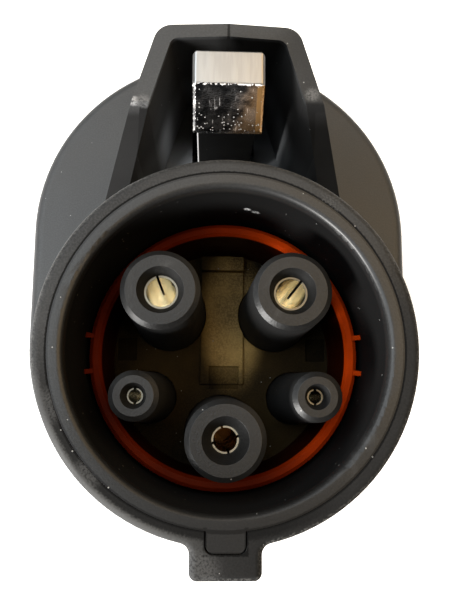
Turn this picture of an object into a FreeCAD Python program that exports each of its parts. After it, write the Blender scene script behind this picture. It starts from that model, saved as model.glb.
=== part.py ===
# Electric vehicle charging adapter: a five contact plug with a latch hook in a hood at the front,
# and a round inlet with five pins at the back. It stands on the rim of the inlet, plug upwards.
# Frame: millimetres, +Z out of the plug's mouth, +Y towards the latch, origin at the middle of the
# rear rim. The pieces are drawn about the plug's axis and moved to that origin as they are written.
import FreeCAD
import Part
import math
import os
from collections import namedtuple

V = FreeCAD.Vector
AXIS_X, AXIS_Y, AXIS_Z = V(1, 0, 0), V(0, 1, 0), V(0, 0, 1)

# Overall
total_length = 140.0
wall = 2.4
fit_gap = 0.05
loose_gap = 0.3
beyond = 200.0  # cutting tools run this far past the part
overrun = 1.0  # cuts run this far past the face they open

# Plug nose: outer collar with the wide key, inner barrel with the narrow key
nose_r = 21.9
joint_line_r = 20.05
barrel_bore_r = 18.3
collar_lip_round = 0.9
barrel_lip_round = 0.7
key_half_width = 3.95
key_reach = 25.25
key_corner_r = 0.9
key_root_r = 1.2
small_key_half_width = 2.15
small_key_reach = 22.25
small_key_gap = 0.16
cavity_depth = 27.0
collar_flange_r = 25.0
collar_flange_thick = 4.0
barrel_flange_r = 23.4
barrel_flange_thick = 4.0
carrier_seat_step, carrier_seat_drop = 0.65, 2.4

# Contact tubes of the plug
power_x, power_y = 7.85, 6.8
earth_y = -10.6
signal_x, signal_y = 10.65, -5.6
tube_setback = 3.3
power_tube_r, power_tube_base_r = 4.75, 5.35
signal_tube_r, signal_tube_base_r = 2.95, 3.8
tube_edge_width, tube_edge_depth = 0.6, 0.45
power_mouth_r, power_hole_r = 2.8, 2.05
earth_mouth_r, earth_hole_r = 2.75, 1.62
signal_mouth_r, signal_hole_r = 1.5, 0.95
mouth_depth = 2.0
carrier_floor = 6.0
floor_plate_thick, plate_hole_gap = 1.6, 0.08
carrier_boss_drop, carrier_boss_wall = 7.0, 1.3
carrier_post_wall = 1.2

# Contacts of the plug, their crimps and the leads
line_bore_r, line_body_r = 1.8, 2.4
earth_bore_r, earth_body_r = 1.4, 2.0
signal_bore_r, signal_body_r = 0.75, 1.25
socket_bore_depth = 24.0
slit_width, slit_length = 0.3, 13.0
slit_turns = {"line": (105,), "neutral": (50,), "earth": (15, 105, 195, 285),
              "proximity": (90, 270), "pilot": (90, 270)}
shoulder_over, shoulder_thick = 0.8, 2.0
mouth_clearance = 0.1
crimp_length, crimp_hole_depth, crimp_wall = 9.0, 7.0, 0.95
power_lead_r, signal_lead_r, lead_straight = 1.65, 0.8, 6.5
lead_bend_share = 0.45

# Floor details of the plug
rib_half_width, rib_low, rib_height = 3.2, -3.6, 0.9
block_low, block_top, block_height = 13.4, 15.5, 2.4
pad_depth = 0.35
pad_sizes = ((0.3, -2.6, 4.4, 3.3), (-14.2, 1.6, 2.8, 3.4), (14.2, 1.6, 2.8, 3.4))

# Face seal
seal_inner_r, seal_outer_r = 16.1, 17.7
seal_base_r, seal_base_height = 18.2, 1.6
seal_front_depth = 14.0
seal_edge_out, seal_edge_in, seal_root = 0.5, 0.4, 0.4
nub_half_angle, nub_reach, nub_thick = 7.6, 18.75, 2.6
nub_half_width = 0.32

# Rear body: two half shells with a long round section
body_r = 34.0
body_top_y, body_low_y = 24.8, 4.2
shoulder_depth = 45.0
body_straight_length = 45.0
body_rear_z = 8.0
inlet_y = 16.4
inlet_half_straight = 0.25
shoulder_round, rear_round = 2.0, 2.5

# Hood over the latch
hood_front_depth = 3.0
hood_top_y, hood_crown, hood_rise = 40.15, 0.4, 0.13
hood_top_half, hood_kink_half, hood_kink_y = 8.75, 11.85, 30.0
hood_low_half, hood_low_y = 19.6, 20.2
hood_foot_in, hood_foot_y = 4.5, 8.0
hood_corner_r, hood_inner_corner = 2.4, 1.2
hood_wall = 1.7
hood_side_wall = 2.2
hood_back_depth = 30.0
hood_slant = 2.6

# Latch
pivot_y, pivot_depth = 33.0, 39.0
pin_r, pin_half, pin_boss_wall = 1.5, 10.0, 2.2
pin_clearance = 0.05
arm_half_width, arm_low_y, arm_high_y = 3.95, 29.9, 35.3
hub_r = 4.6
hook_half_width, hook_top_y, hook_edge_y, hook_tip_y = 4.4, 35.5, 31.4, 27.5
hook_front_depth, hook_length, hook_tip_back, hook_barb_back = 0.5, 8.5, 5.0, 6.0
hook_socket_wall, hook_side_edge, hook_underhang = 1.0, 0.35, 0.2
tongue_play = 1.0
tail_setback, tail_length = 18.55, 12.0  # setback from the barrel's rear end
tail_low_y, tail_high_y = 38.0, 42.0
slot_half_width, slot_low_y, slot_high_y = 5.0, 28.6, 39.6

# Release button
button_half_x, button_half_z, button_corner_r = 7.5, 12.0, 3.5
button_proud, button_flange, button_flange_thick = 3.2, 1.6, 1.8
button_stem_r, button_stem_gap, button_dome_r = 3.0, 0.1, 7.0
button_crown = 1.2
grip_count, grip_pitch, grip_width, grip_height, grip_inset = 5, 3.4, 1.2, 0.6, 1.6

# Spring, switch and circuit board under the latch's tail
# Fronts are set back from the barrel's rear end, and rears from the middle of the tail
shelf_y, shelf_thick, shelf_front_setback, shelf_rear_setback = 20.4, 2.0, 1.55, 8.0
shelf_notch_low_x, shelf_notch_high_x, shelf_notch_ahead = 5.6, 10.4, 5.0
spring_r, spring_wire_r, spring_turns = 2.7, 0.35, 7
spring_post_r, spring_post_height = 2.0, 4.0
board_thick, board_half_x, board_front_setback, board_rear_setback = 1.6, 5.3, 1.75, 6.0
switch_half_x, switch_front_setback, switch_length, switch_height = 3.2, 2.15, 10.0, 11.0
plunger_r, plunger_setback, plunger_sunk, plunger_travel = 0.9, 5.55, 2.5, 1.9

# Rear inlet
inlet_wall, inlet_seat_step, inlet_rim_round = 2.9, 1.0, 1.2
inlet_flat_y = 23.6
inlet_core_r, inlet_core_flat = 23.3, 18.8
inlet_core_setback, inlet_groove_depth = 2.5, 36.0
inlet_base_thick = 6.0
inlet_lock_z, inlet_lock_width, inlet_lock_depth = 24.0, 2.0, 1.2
inlet_power_pitch, inlet_low_x, inlet_low_y = 16.2, 8.2, -13.6
inlet_signal_x, inlet_signal_y = 6.6, 12.2
inlet_power_hole_r, inlet_signal_hole_r = 5.4, 3.4
power_pin_r, signal_pin_r = 3.0, 1.5
power_pin_setback, signal_pin_setback = 8.0, 11.0
pin_seat_over, pin_flange_over, pin_flange_thick = 0.4, 1.2, 2.0
pin_crimp_length, pin_tip_share = 9.0, 0.55
rib_thick, rear_rib_reach = 2.0, 3.8
root_overlap = 0.2  # ribs and bosses are sunk this far into the wall that carries them

# Retainer plates and screws
retainer_thick, plug_retainer_r, inlet_retainer_r = 3.0, 17.2, 22.0
small_screw_r, small_head_r, small_head_height, small_screw_length = 1.1, 2.0, 1.4, 7.0
screw_end_gap = 0.5
cross_reach, cross_half_width, cross_depth = 1.1, 0.25, 0.7
plug_screw_places = ((0.0, 13.2), (-15.0, -0.2), (15.0, -0.2))
inlet_screw_places = ((0.0, 17.5), (-16.8, -10.6), (16.8, -10.6))
case_screw_r, case_head_r, case_head_height = 1.4, 2.4, 2.2
case_cross_reach, case_cross_half_width, case_cross_depth = 1.5, 0.3, 1.1
case_boss_r, case_screw_seat_x, case_screw_reach = 3.3, 9.0, 9.0
# Each inset is from the body's top or low skin, each step from the inlet's base or the shoulder
case_rear_top_inset, case_rear_top_step = 9.3, 4.6
case_rear_low_inset, case_rear_low_step = 15.1, 8.0
case_front_top_inset, case_front_top_step = 7.9, 8.0
case_front_low_inset, case_front_low_step = 10.9, 17.0

# Heights and places worked out from the sizes above
rim_z = total_length
floor_z = rim_z - cavity_depth
shoulder_z = rim_z - shoulder_depth
tube_face_z = rim_z - tube_setback
hood_front_z = rim_z - hood_front_depth
hood_back_z = rim_z - hood_back_depth
pivot_z = rim_z - pivot_depth
flange_front_z = shoulder_z - wall - fit_gap
flange_rear_z = flange_front_z - collar_flange_thick
barrel_rear_z = flange_rear_z - barrel_flange_thick
tail_z = barrel_rear_z - tail_setback
plunger_z = barrel_rear_z - plunger_setback
boss_end_z = floor_z - carrier_floor - carrier_boss_drop
contact_front_z = tube_face_z - mouth_depth - mouth_clearance
inlet_base_z = inlet_groove_depth
inlet_base_end_z = inlet_base_z + inlet_base_thick
inlet_collar_r = body_r - wall - 2 * fit_gap
inlet_bore_r = inlet_collar_r - inlet_wall
inlet_base_r = inlet_bore_r + inlet_seat_step
top_skin_y, low_skin_y = body_top_y + body_r, body_low_y - body_r
case_screw_places = ((top_skin_y - case_rear_top_inset, inlet_base_end_z + case_rear_top_step),
                     (low_skin_y + case_rear_low_inset, inlet_base_end_z + case_rear_low_step),
                     (low_skin_y + case_front_low_inset, shoulder_z - case_front_low_step),
                     (top_skin_y - case_front_top_inset, shoulder_z - case_front_top_step))

PlugPlace = namedtuple("PlugPlace", "name x y tube_r base_r mouth_r hole_r bore_r body_r lead_r")
InletPlace = namedtuple("InletPlace", "name x y hole_r pin_r lead_r setback")


def cyl(r, z0, z1, x=0.0, y=0.0):
    return Part.makeCylinder(r, z1 - z0, V(x, y, z0), AXIS_Z)


def cyl_x(r, x0, x1, y, z):
    return Part.makeCylinder(r, x1 - x0, V(x0, y, z), AXIS_X)


def cyl_y(r, y0, y1, x, z):
    return Part.makeCylinder(r, y1 - y0, V(x, y0, z), AXIS_Y)


def block(x0, x1, y0, y1, z0, z1):
    return Part.makeBox(x1 - x0, y1 - y0, z1 - z0, V(x0, y0, z0))


def face_of(points):
    return Part.Face(Part.makePolygon(points + [points[0]]))


def turned(profile, x=0.0, y=0.0):
    """Solid turned about the vertical line through x, y; the profile is (radius, height) pairs."""
    face = face_of([V(x + r, y, z) for r, z in profile])
    return face.revolve(V(x, y, 0), AXIS_Z, 360)


def across(points, half_width):
    """Solid with a side profile of (y, z) pairs, from -half_width to half_width along X."""
    face = face_of([V(-half_width, y, z) for y, z in points])
    return face.extrude(V(2 * half_width, 0, 0))


def joined(shapes):
    return shapes[0].fuse(shapes[1:]).removeSplitter()


def long_round(r, y_low, y_top, z):
    """Wire of two half circles joined by straight sides."""
    left_top, right_top = V(-r, y_top, z), V(r, y_top, z)
    left_low, right_low = V(-r, y_low, z), V(r, y_low, z)
    top = Part.Arc(right_top, V(0, y_top + r, z), left_top).toShape()
    low = Part.Arc(left_low, V(0, y_low - r, z), right_low).toShape()
    return Part.Wire([top, Part.makeLine(left_top, left_low), low, Part.makeLine(right_low, right_top)])


def rounded_plate(half_x, half_z, r, y0, y1, z):
    """Plate in the XZ plane with round corners, from y0 to y1, centred on height z."""
    core = block(-half_x, half_x, y0, y1, z - half_z, z + half_z)
    upright = [e for e in core.Edges if abs(e.tangentAt(e.FirstParameter).y) > 0.9]
    return core.makeFillet(r, upright)


def edges_at_height(shape, z, tolerance=0.02):
    return [e for e in shape.Edges
            if abs(e.BoundBox.ZMin - z) < tolerance and abs(e.BoundBox.ZMax - z) < tolerance]


def solids_only(shape):
    """One solid, or a compound of the solids, with nothing else in it."""
    found = shape.Solids
    return found[0] if len(found) == 1 else Part.makeCompound(found)


def key_outline(half_width, reach, z0, z1, corner_r):
    """Bar below the nose, from its axis down to the given reach, with two rounded lower corners."""
    bar = block(-half_width, half_width, -reach, key_root_r - joint_line_r, z0, z1)
    low = [e for e in bar.Edges
           if abs(e.tangentAt(e.FirstParameter).z) > 0.9 and e.BoundBox.YMax < -reach + 0.01]
    return bar.makeFillet(corner_r, low)


def nose_outline(grow, z0, z1):
    """Round nose with the wide key below and hollow corners where the two meet, grown by a clearance."""
    ring = cyl(nose_r + grow, z0, z1)
    key = key_outline(key_half_width + grow, key_reach + grow, z0, z1, key_corner_r + grow)
    shape = joined([ring, key])
    roots = [e for e in shape.Edges if e.BoundBox.ZLength > 0.9 * (z1 - z0) and e.BoundBox.XLength < 0.1
             and abs(math.hypot(e.BoundBox.XMax, e.BoundBox.YMax) - nose_r - grow) < 0.1
             and abs(abs(e.BoundBox.XMax) - key_half_width - grow) < 0.1]
    return shape.makeFillet(key_root_r - grow, roots)


def make_front_collar():
    """Outer ring of the nose with the wide key below and a flange held behind the housing's front wall."""
    shell = nose_outline(0.0, flange_front_z - root_overlap, rim_z)
    shell = shell.makeFillet(collar_lip_round, edges_at_height(shell, rim_z))
    flange = cyl(collar_flange_r, flange_rear_z, flange_front_z)
    bore = cyl(joint_line_r + fit_gap, flange_rear_z - overrun, rim_z + overrun)
    slot = key_outline(small_key_half_width + small_key_gap, small_key_reach + small_key_gap,
                       flange_rear_z - overrun, rim_z + overrun, key_corner_r)
    return joined([shell, flange]).cut(bore).cut(slot)


def make_nose_barrel():
    """Inner sleeve of the nose: rounded mouth, narrow key, seat for the carrier and four seal notches."""
    seat_r = barrel_bore_r + carrier_seat_step
    sleeve = cyl(joint_line_r, barrel_rear_z, rim_z)
    flange = cyl(barrel_flange_r, barrel_rear_z, flange_rear_z - fit_gap)
    key = key_outline(small_key_half_width, small_key_reach, flange_rear_z - fit_gap, rim_z, key_corner_r)
    body = joined([sleeve, flange, key])
    bore = cyl(barrel_bore_r, floor_z - carrier_seat_drop - overrun, rim_z + overrun)
    seat = cyl(seat_r, barrel_rear_z - overrun, floor_z - carrier_seat_drop)
    body = body.cut(bore).cut(seat)
    mouth = [e for e in edges_at_height(body, rim_z)
             if e.Curve.TypeId == "Part::GeomCircle" and abs(e.Curve.Radius - barrel_bore_r) < 0.01]
    body = body.makeFillet(barrel_lip_round, mouth)
    top = rim_z - seal_front_depth + loose_gap
    for angle in nub_angles():
        notch = block(0, nub_reach + fit_gap, -nub_half_width - fit_gap, nub_half_width + fit_gap,
                      floor_z - overrun, top)
        body = body.cut(notch.rotated(V(0, 0, 0), AXIS_Z, angle))
    return body


def nub_angles():
    return [base + side * nub_half_angle for base in (0, 180) for side in (-1, 1)]


def make_face_seal():
    """Silicone ring round the contacts, with a base that lies on the carrier and four side nubs."""
    front_z = rim_z - seal_front_depth
    profile = [(seal_inner_r, floor_z), (seal_base_r, floor_z), (seal_base_r, floor_z + seal_base_height),
               (seal_outer_r, floor_z + seal_base_height), (seal_outer_r, front_z - seal_edge_out),
               (seal_outer_r - seal_edge_out, front_z), (seal_inner_r + seal_edge_in, front_z),
               (seal_inner_r, front_z - seal_edge_in)]
    shape = turned(profile)
    for angle in nub_angles():
        nub = block(seal_outer_r - seal_root, nub_reach, -nub_half_width, nub_half_width,
                    front_z - nub_thick, front_z)
        shape = shape.fuse(nub.rotated(V(0, 0, 0), AXIS_Z, angle))
    return shape.removeSplitter()


def plug_places():
    """The five contacts of the plug: places about the plug's axis, and radii."""
    power_tube, signal_tube = (power_tube_r, power_tube_base_r), (signal_tube_r, signal_tube_base_r)
    power = power_tube + (power_mouth_r, power_hole_r, line_bore_r, line_body_r, power_lead_r)
    earth = power_tube + (earth_mouth_r, earth_hole_r, earth_bore_r, earth_body_r, power_lead_r)
    signal = signal_tube + (signal_mouth_r, signal_hole_r, signal_bore_r, signal_body_r, signal_lead_r)
    return [PlugPlace("line", -power_x, power_y, *power), PlugPlace("neutral", power_x, power_y, *power),
            PlugPlace("earth", 0.0, earth_y, *earth), PlugPlace("proximity", -signal_x, signal_y, *signal),
            PlugPlace("pilot", signal_x, signal_y, *signal)]


def crimp_r(lead_r):
    return lead_r + crimp_wall


def make_contact_carrier():
    """Insulator of the plug: base, five tapered tubes with countersunk mouths, and screw posts below."""
    under_z, top_z = floor_z - carrier_floor, floor_z - floor_plate_thick
    rim_r = barrel_bore_r + carrier_seat_step - fit_gap
    parts = [cyl(rim_r, under_z, floor_z - carrier_seat_drop - fit_gap),
             cyl(barrel_bore_r - fit_gap, under_z, top_z)]
    for p in plug_places():
        tube = turned([(0, under_z), (p.base_r, under_z), (p.base_r, top_z),
                       (p.tube_r, tube_face_z - tube_edge_depth), (p.tube_r - tube_edge_width, tube_face_z),
                       (0, tube_face_z)], p.x, p.y)
        parts += [tube, cyl(p.body_r + shoulder_over + carrier_boss_wall, boss_end_z, under_z, p.x, p.y)]
    parts += [cyl(small_screw_r + carrier_post_wall, boss_end_z, under_z, x, y) for x, y in plug_screw_places]
    body = joined(parts)
    for p in plug_places():
        room_r, room_z = p.body_r + fit_gap, contact_front_z + fit_gap
        seat_r, seat_z = room_r + shoulder_over, boss_end_z + shoulder_thick
        body = body.cut(turned([(0, boss_end_z - overrun), (seat_r, boss_end_z - overrun), (seat_r, seat_z),
                                (room_r, seat_z), (room_r, room_z), (p.hole_r, room_z),
                                (p.hole_r, tube_face_z - mouth_depth), (p.mouth_r, tube_face_z),
                                (p.mouth_r, tube_face_z + overrun), (0, tube_face_z + overrun)], p.x, p.y))
    for x, y in plug_screw_places:
        body = body.cut(cyl(small_screw_r, boss_end_z - overrun, boss_end_z + small_screw_length, x, y))
    return body.removeSplitter()


def make_floor_plate():
    """Plate on the carrier that closes the cavity's floor: rib, raised block and three bare sunk pads."""
    low_z = floor_z - floor_plate_thick + fit_gap
    plate = cyl(barrel_bore_r - fit_gap, low_z, floor_z)
    rib = block(-rib_half_width, rib_half_width, rib_low, block_top, low_z, floor_z + rib_height)
    riser = block(-rib_half_width, rib_half_width, block_low, block_top, low_z, floor_z + block_height)
    body = joined([plate, rib, riser])
    for p in plug_places():
        body = body.cut(cyl(p.base_r + plate_hole_gap, low_z - overrun, floor_z + beyond, p.x, p.y))
    for x, y, width, height in pad_sizes:
        top = floor_z + (rib_height if abs(x) < rib_half_width else 0.0)
        body = body.cut(block(x - width / 2, x + width / 2, y - height / 2, y + height / 2,
                              top - pad_depth, top + overrun))
    return body


def make_contact(p):
    """Turned socket: slit front, shoulder that seats in the carrier, and a crimp barrel at the back."""
    crimp_end_z = boss_end_z - retainer_thick - crimp_length
    hole_end_z = crimp_end_z + crimp_hole_depth
    seat_z = boss_end_z + shoulder_thick - fit_gap
    body = cyl(p.body_r, boss_end_z, contact_front_z, p.x, p.y)
    shoulder = cyl(p.body_r + shoulder_over, boss_end_z, seat_z, p.x, p.y)
    crimp = cyl(crimp_r(p.lead_r), crimp_end_z, boss_end_z, p.x, p.y)
    shape = joined([body, shoulder, crimp])
    shape = shape.cut(cyl(p.bore_r, contact_front_z - socket_bore_depth, contact_front_z + overrun, p.x, p.y))
    shape = shape.cut(cyl(p.lead_r + fit_gap, crimp_end_z - overrun, hole_end_z, p.x, p.y))
    for turn in slit_turns[p.name]:
        slit = block(0, p.body_r + overrun, -slit_width / 2, slit_width / 2,
                     contact_front_z - slit_length, contact_front_z + overrun)
        slit.rotate(V(0, 0, 0), AXIS_Z, turn)
        slit.translate(V(p.x, p.y, 0))
        shape = shape.cut(slit)
    return shape


def retainer(r, z0, centre_y, places, screw_places):
    """Round plate that holds the contacts' shoulders in their seats; places are x, y and hole radius."""
    plate = cyl(r, z0, z0 + retainer_thick, 0, centre_y)
    holes = list(places) + [(x, y, small_screw_r + fit_gap) for x, y in screw_places]
    for x, y, hole_r in holes:
        plate = plate.cut(cyl(hole_r, z0 - overrun, z0 + retainer_thick + overrun, x, centre_y + y))
    return plate


def small_screw(x, y, seat_z, way):
    """Pan head screw whose shank runs the given way, +1 up or -1 down, from its seat."""
    reach = retainer_thick + small_screw_length - screw_end_gap
    shank = (seat_z, seat_z + way * reach)
    head = (seat_z - way * small_head_height, seat_z)
    shape = joined([cyl(small_screw_r, min(shank), max(shank), x, y),
                    cyl(small_head_r, min(head), max(head), x, y)])
    top_z = seat_z - way * small_head_height
    for turn in (0, 90):
        cross = block(-cross_reach, cross_reach, -cross_half_width, cross_half_width,
                      top_z - cross_depth, top_z + cross_depth)
        cross.rotate(V(0, 0, 0), AXIS_Z, turn)
        cross.translate(V(x, y, 0))
        shape = shape.cut(cross)
    return shape


def body_section(r, z, spread):
    """Section of the rear body; spread is 1 at the shoulder and 0 at the inlet."""
    y_top = inlet_y + inlet_half_straight + (body_top_y - inlet_y - inlet_half_straight) * spread
    y_low = inlet_y - inlet_half_straight + (body_low_y - inlet_y + inlet_half_straight) * spread
    return long_round(r, y_low, y_top, z)


def body_loft(r, z_low, z_high):
    """Straight long round section below the shoulder, drawn in to a round one at the rear."""
    turn_z = shoulder_z - body_straight_length
    pieces = [Part.Face(body_section(r, turn_z, 1)).extrude(V(0, 0, z_high - turn_z)),
              Part.makeLoft([body_section(r, body_rear_z, 0), body_section(r, turn_z, 1)], True, True)]
    if z_low < body_rear_z:
        pieces.append(Part.Face(body_section(r, z_low, 0)).extrude(V(0, 0, body_rear_z - z_low)))
    return joined(pieces)


def hood_points(inset, side_inset, z):
    """Outline of the hood's section at a height, moved inwards by the given walls."""
    rise = hood_rise * (hood_front_z - z)
    top = hood_top_y + rise - inset
    slope = (hood_kink_half - hood_top_half) / (hood_top_y - hood_kink_y)
    top_half = hood_kink_half - slope * (top - hood_kink_y) - side_inset
    kink, low = hood_kink_half - side_inset, hood_low_half - side_inset
    half = [V(top_half, top, z), V(kink, hood_kink_y, z), V(low, hood_low_y - inset, z),
            V(low - hood_foot_in, hood_foot_y, z)]
    return [V(0, top + hood_crown, z)] + half + [V(-p.x, p.y, p.z) for p in reversed(half)]


def hood_block(inset, side_inset, z0, z1, corner_r):
    """Solid of the hood's section between two heights, its two upper corners rounded."""
    wires = [Part.makePolygon(points + [points[0]])
             for points in (hood_points(inset, side_inset, z0), hood_points(inset, side_inset, z1))]
    solid = Part.makeLoft(wires, True, True)
    above = (hood_kink_y + hood_top_y) / 2
    corners = [e for e in solid.Edges if e.BoundBox.YMin > above and e.BoundBox.ZLength > 0.9 * (z1 - z0)
               and abs(e.BoundBox.XMax) > corner_r]
    return solid.makeFillet(corner_r, corners)


def hood_slant_cut():
    """What is cleared in front of the hood's lower edges, which slope back from the kink to the shoulder."""
    end_y = hood_kink_y - (hood_front_z - shoulder_z) / hood_slant
    ahead_z = hood_front_z + wall
    points = [(hood_kink_y, hood_front_z), (end_y, shoulder_z), (0.0, shoulder_z),
              (0.0, ahead_z), (hood_kink_y, ahead_z)]
    return across(points, 2 * hood_low_half)


def button_place(grow, y0, y1):
    return rounded_plate(button_half_x + grow, button_half_z + grow, button_corner_r + grow, y0, y1, tail_z)


def shell_inside():
    """Hollow of the closed housing: rear body, closed rear part of the hood and the open hood."""
    corner_r = hood_corner_r - hood_inner_corner
    room = body_loft(body_r - wall, body_rear_z - wall, shoulder_z - wall)
    low_z = shoulder_z - wall - overrun
    closed_hood = hood_block(hood_wall, hood_side_wall, low_z, hood_back_z - wall, corner_r)
    open_hood = hood_block(hood_wall, hood_side_wall, hood_back_z, hood_front_z + overrun, corner_r)
    return room, closed_hood, open_hood


def make_housing():
    """The whole housing before it is split at X = 0 into its two halves."""
    body = body_loft(body_r, body_rear_z, shoulder_z)
    body = body.makeFillet(shoulder_round, edges_at_height(body, shoulder_z))
    body = body.makeFillet(rear_round, edges_at_height(body, body_rear_z))
    hood = hood_block(0.0, 0.0, shoulder_z - overrun, hood_front_z, hood_corner_r)
    outer = joined([body, hood]).cut(hood_slant_cut())
    room, closed_hood, open_hood = shell_inside()
    nose_hole = nose_outline(fit_gap, shoulder_z - wall - overrun, rim_z + overrun)
    shell = outer.cut(room).cut(closed_hood).cut(open_hood).cut(nose_hole)
    slot = block(-slot_half_width, slot_half_width, slot_low_y, slot_high_y,
                 hood_back_z - wall - overrun, hood_back_z + overrun)
    shell = shell.cut(slot).cut(button_place(loose_gap, 0.0, beyond))
    return shell.fuse(housing_ribs()).removeSplitter()


def rib_ring(z0, z1, bore_r, y):
    """Round rib with a bore about height y, wide enough to be trimmed by the hollow it stands in."""
    return cyl(beyond, z0, z1).cut(cyl(bore_r, z0 - overrun, z1 + overrun, 0, y))


def housing_ribs():
    """Plates and bosses moulded inside the halves, kept within the hollow."""
    room = body_loft(body_r - wall + root_overlap, body_rear_z, shoulder_z - wall)
    rear_z, front_z = inlet_base_end_z + fit_gap, barrel_rear_z - fit_gap
    rear = rib_ring(rear_z, rear_z + rib_thick, inlet_base_r - rear_rib_reach, inlet_y)
    lock = rib_ring(inlet_lock_z + fit_gap, inlet_lock_z + inlet_lock_width - fit_gap,
                    inlet_collar_r - inlet_lock_depth + fit_gap, inlet_y)
    front = rib_ring(front_z - rib_thick, front_z, barrel_bore_r + carrier_seat_step, 0)
    front = front.cut(block(-beyond, beyond, shelf_y - shelf_thick, beyond, 0, beyond))
    shelf = block(-beyond, beyond, shelf_y - shelf_thick, shelf_y,
                  tail_z - shelf_rear_setback, barrel_rear_z - shelf_front_setback)
    for side in (-1, 1):
        x0, x1 = sorted((side * shelf_notch_low_x, side * shelf_notch_high_x))
        shelf = shelf.cut(block(x0, x1, 0, beyond, 0, tail_z + shelf_notch_ahead))
    post = cyl_y(spring_post_r, shelf_y - root_overlap, shelf_y + spring_post_height, 0, tail_z)
    return [piece.common(room) for piece in (rear, lock, front, shelf, post)]


def pivot_bosses():
    """Two bosses beside the latch that hold the ends of its pin."""
    inner = hood_block(hood_wall - root_overlap, hood_side_wall - root_overlap, shoulder_z - wall - overrun,
                       hood_back_z - wall, hood_corner_r - hood_inner_corner)
    bosses = []
    for side in (-1, 1):
        x0, x1 = sorted((side * (arm_half_width + loose_gap), side * body_r))
        bosses.append(cyl_x(pin_r + pin_boss_wall, x0, x1, pivot_y, pivot_z).common(inner))
    return bosses


def case_bosses():
    """Screw bosses that meet at the split."""
    room = body_loft(body_r - wall + root_overlap, body_rear_z, shoulder_z - wall)
    return [cyl_x(case_boss_r, -body_r, body_r, y, z).common(room) for y, z in case_screw_places]


def make_halves():
    shell = make_housing().fuse(pivot_bosses() + case_bosses()).removeSplitter()
    shell = shell.cut(cyl_x(pin_r + pin_clearance, -pin_half - fit_gap, pin_half + fit_gap, pivot_y, pivot_z))
    for y, z in case_screw_places:
        shell = shell.cut(cyl_x(case_screw_r + fit_gap, -case_screw_reach - screw_end_gap,
                                case_screw_seat_x + overrun, y, z))
        shell = shell.cut(cyl_x(case_head_r + loose_gap, case_screw_seat_x, beyond, y, z))
    left = shell.cut(block(0, beyond, -beyond, beyond, -beyond, beyond))
    right = shell.cut(block(-beyond, 0, -beyond, beyond, -beyond, beyond))
    return solids_only(left), solids_only(right)


def case_screw(y, z):
    """Countersunk case screw along X, head in the right half, point in the left one."""
    shank = cyl_x(case_screw_r, -case_screw_reach, case_screw_seat_x, y, z)
    head = cyl_x(case_head_r, case_screw_seat_x, case_screw_seat_x + case_head_height, y, z)
    screw = joined([shank, head])
    top_x = case_screw_seat_x + case_head_height
    reach, half_width = case_cross_reach, case_cross_half_width
    for dy, dz in ((reach, half_width), (half_width, reach)):
        screw = screw.cut(block(top_x - case_cross_depth, top_x + overrun, y - dy, y + dy, z - dz, z + dz))
    return screw


def make_latch_lever():
    """Moulded lever: arm to the hook, hub on the pin, and a raised tail under the button."""
    arm_end_z = rim_z - hook_front_depth - hook_socket_wall - tongue_play
    arm = across([(arm_low_y, pivot_z), (arm_high_y, pivot_z), (arm_high_y, arm_end_z),
                  (arm_low_y, arm_end_z)], arm_half_width)
    tail_front_z, tail_rear_z = tail_z + tail_length / 2, tail_z - tail_length / 2
    tail = across([(arm_low_y, pivot_z), (arm_high_y, pivot_z), (tail_high_y, tail_front_z),
                   (tail_high_y, tail_rear_z), (tail_low_y, tail_rear_z), (tail_low_y, tail_front_z)],
                  arm_half_width)
    hub = cyl_x(hub_r, -arm_half_width, arm_half_width, pivot_y, pivot_z)
    lever = joined([arm, tail, hub])
    lever = lever.cut(cyl_x(pin_r + pin_clearance, -beyond, beyond, pivot_y, pivot_z))
    step_z = rim_z - hook_front_depth - hook_length
    neck = arm_half_width - hook_socket_wall
    low_y, high_y = arm_low_y + hook_socket_wall, arm_high_y - hook_socket_wall
    sleeve = block(-beyond, beyond, arm_low_y - overrun, arm_high_y + overrun, step_z, rim_z)
    tongue = block(-neck, neck, low_y, high_y, step_z, arm_end_z)
    return lever.cut(sleeve.cut(tongue))


def make_latch_hook():
    """Cast hook pushed over the lever's tongue: flat front, sloping ramp, square catch behind the barb."""
    front_z = rim_z - hook_front_depth
    rear_z, barb_z, under_y = front_z - hook_length, front_z - hook_barb_back, arm_low_y - hook_underhang
    points = [(hook_top_y, rear_z), (hook_top_y, front_z), (hook_edge_y, front_z),
              (hook_tip_y, front_z - hook_tip_back), (hook_tip_y, barb_z), (under_y, barb_z),
              (under_y, rear_z)]
    hook = across(points, hook_half_width)
    sides = [e for e in hook.Edges if abs(abs(e.BoundBox.XMax) - hook_half_width) < 0.01
             and e.BoundBox.XLength < 0.01 and e.BoundBox.ZMax > front_z - hook_tip_back + 0.1]
    hook = hook.makeChamfer(hook_side_edge, sides)
    shell = hook_socket_wall - fit_gap
    neck = arm_half_width - shell
    end_z = front_z - shell - tongue_play
    socket = block(-neck, neck, arm_low_y + shell, arm_high_y - shell, rear_z - overrun, end_z)
    return hook.cut(socket)


def make_latch_pin():
    return cyl_x(pin_r, -pin_half, pin_half, pivot_y, pivot_z)


def make_latch_spring():
    """Coil that lifts the lever's tail, standing on the shelf round its post."""
    low, high = shelf_y + spring_wire_r, tail_low_y - spring_wire_r
    pitch = (high - low) / spring_turns
    helix = Part.makeHelix(pitch, high - low, spring_r)
    circle = Part.Wire(Part.makeCircle(spring_wire_r, V(spring_r, 0, 0), AXIS_Y))
    coil = Part.Wire(helix.Edges).makePipeShell([circle], True, True)
    coil.rotate(V(0, 0, 0), AXIS_X, -90)
    coil.translate(V(0, low, tail_z))
    return coil


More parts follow.
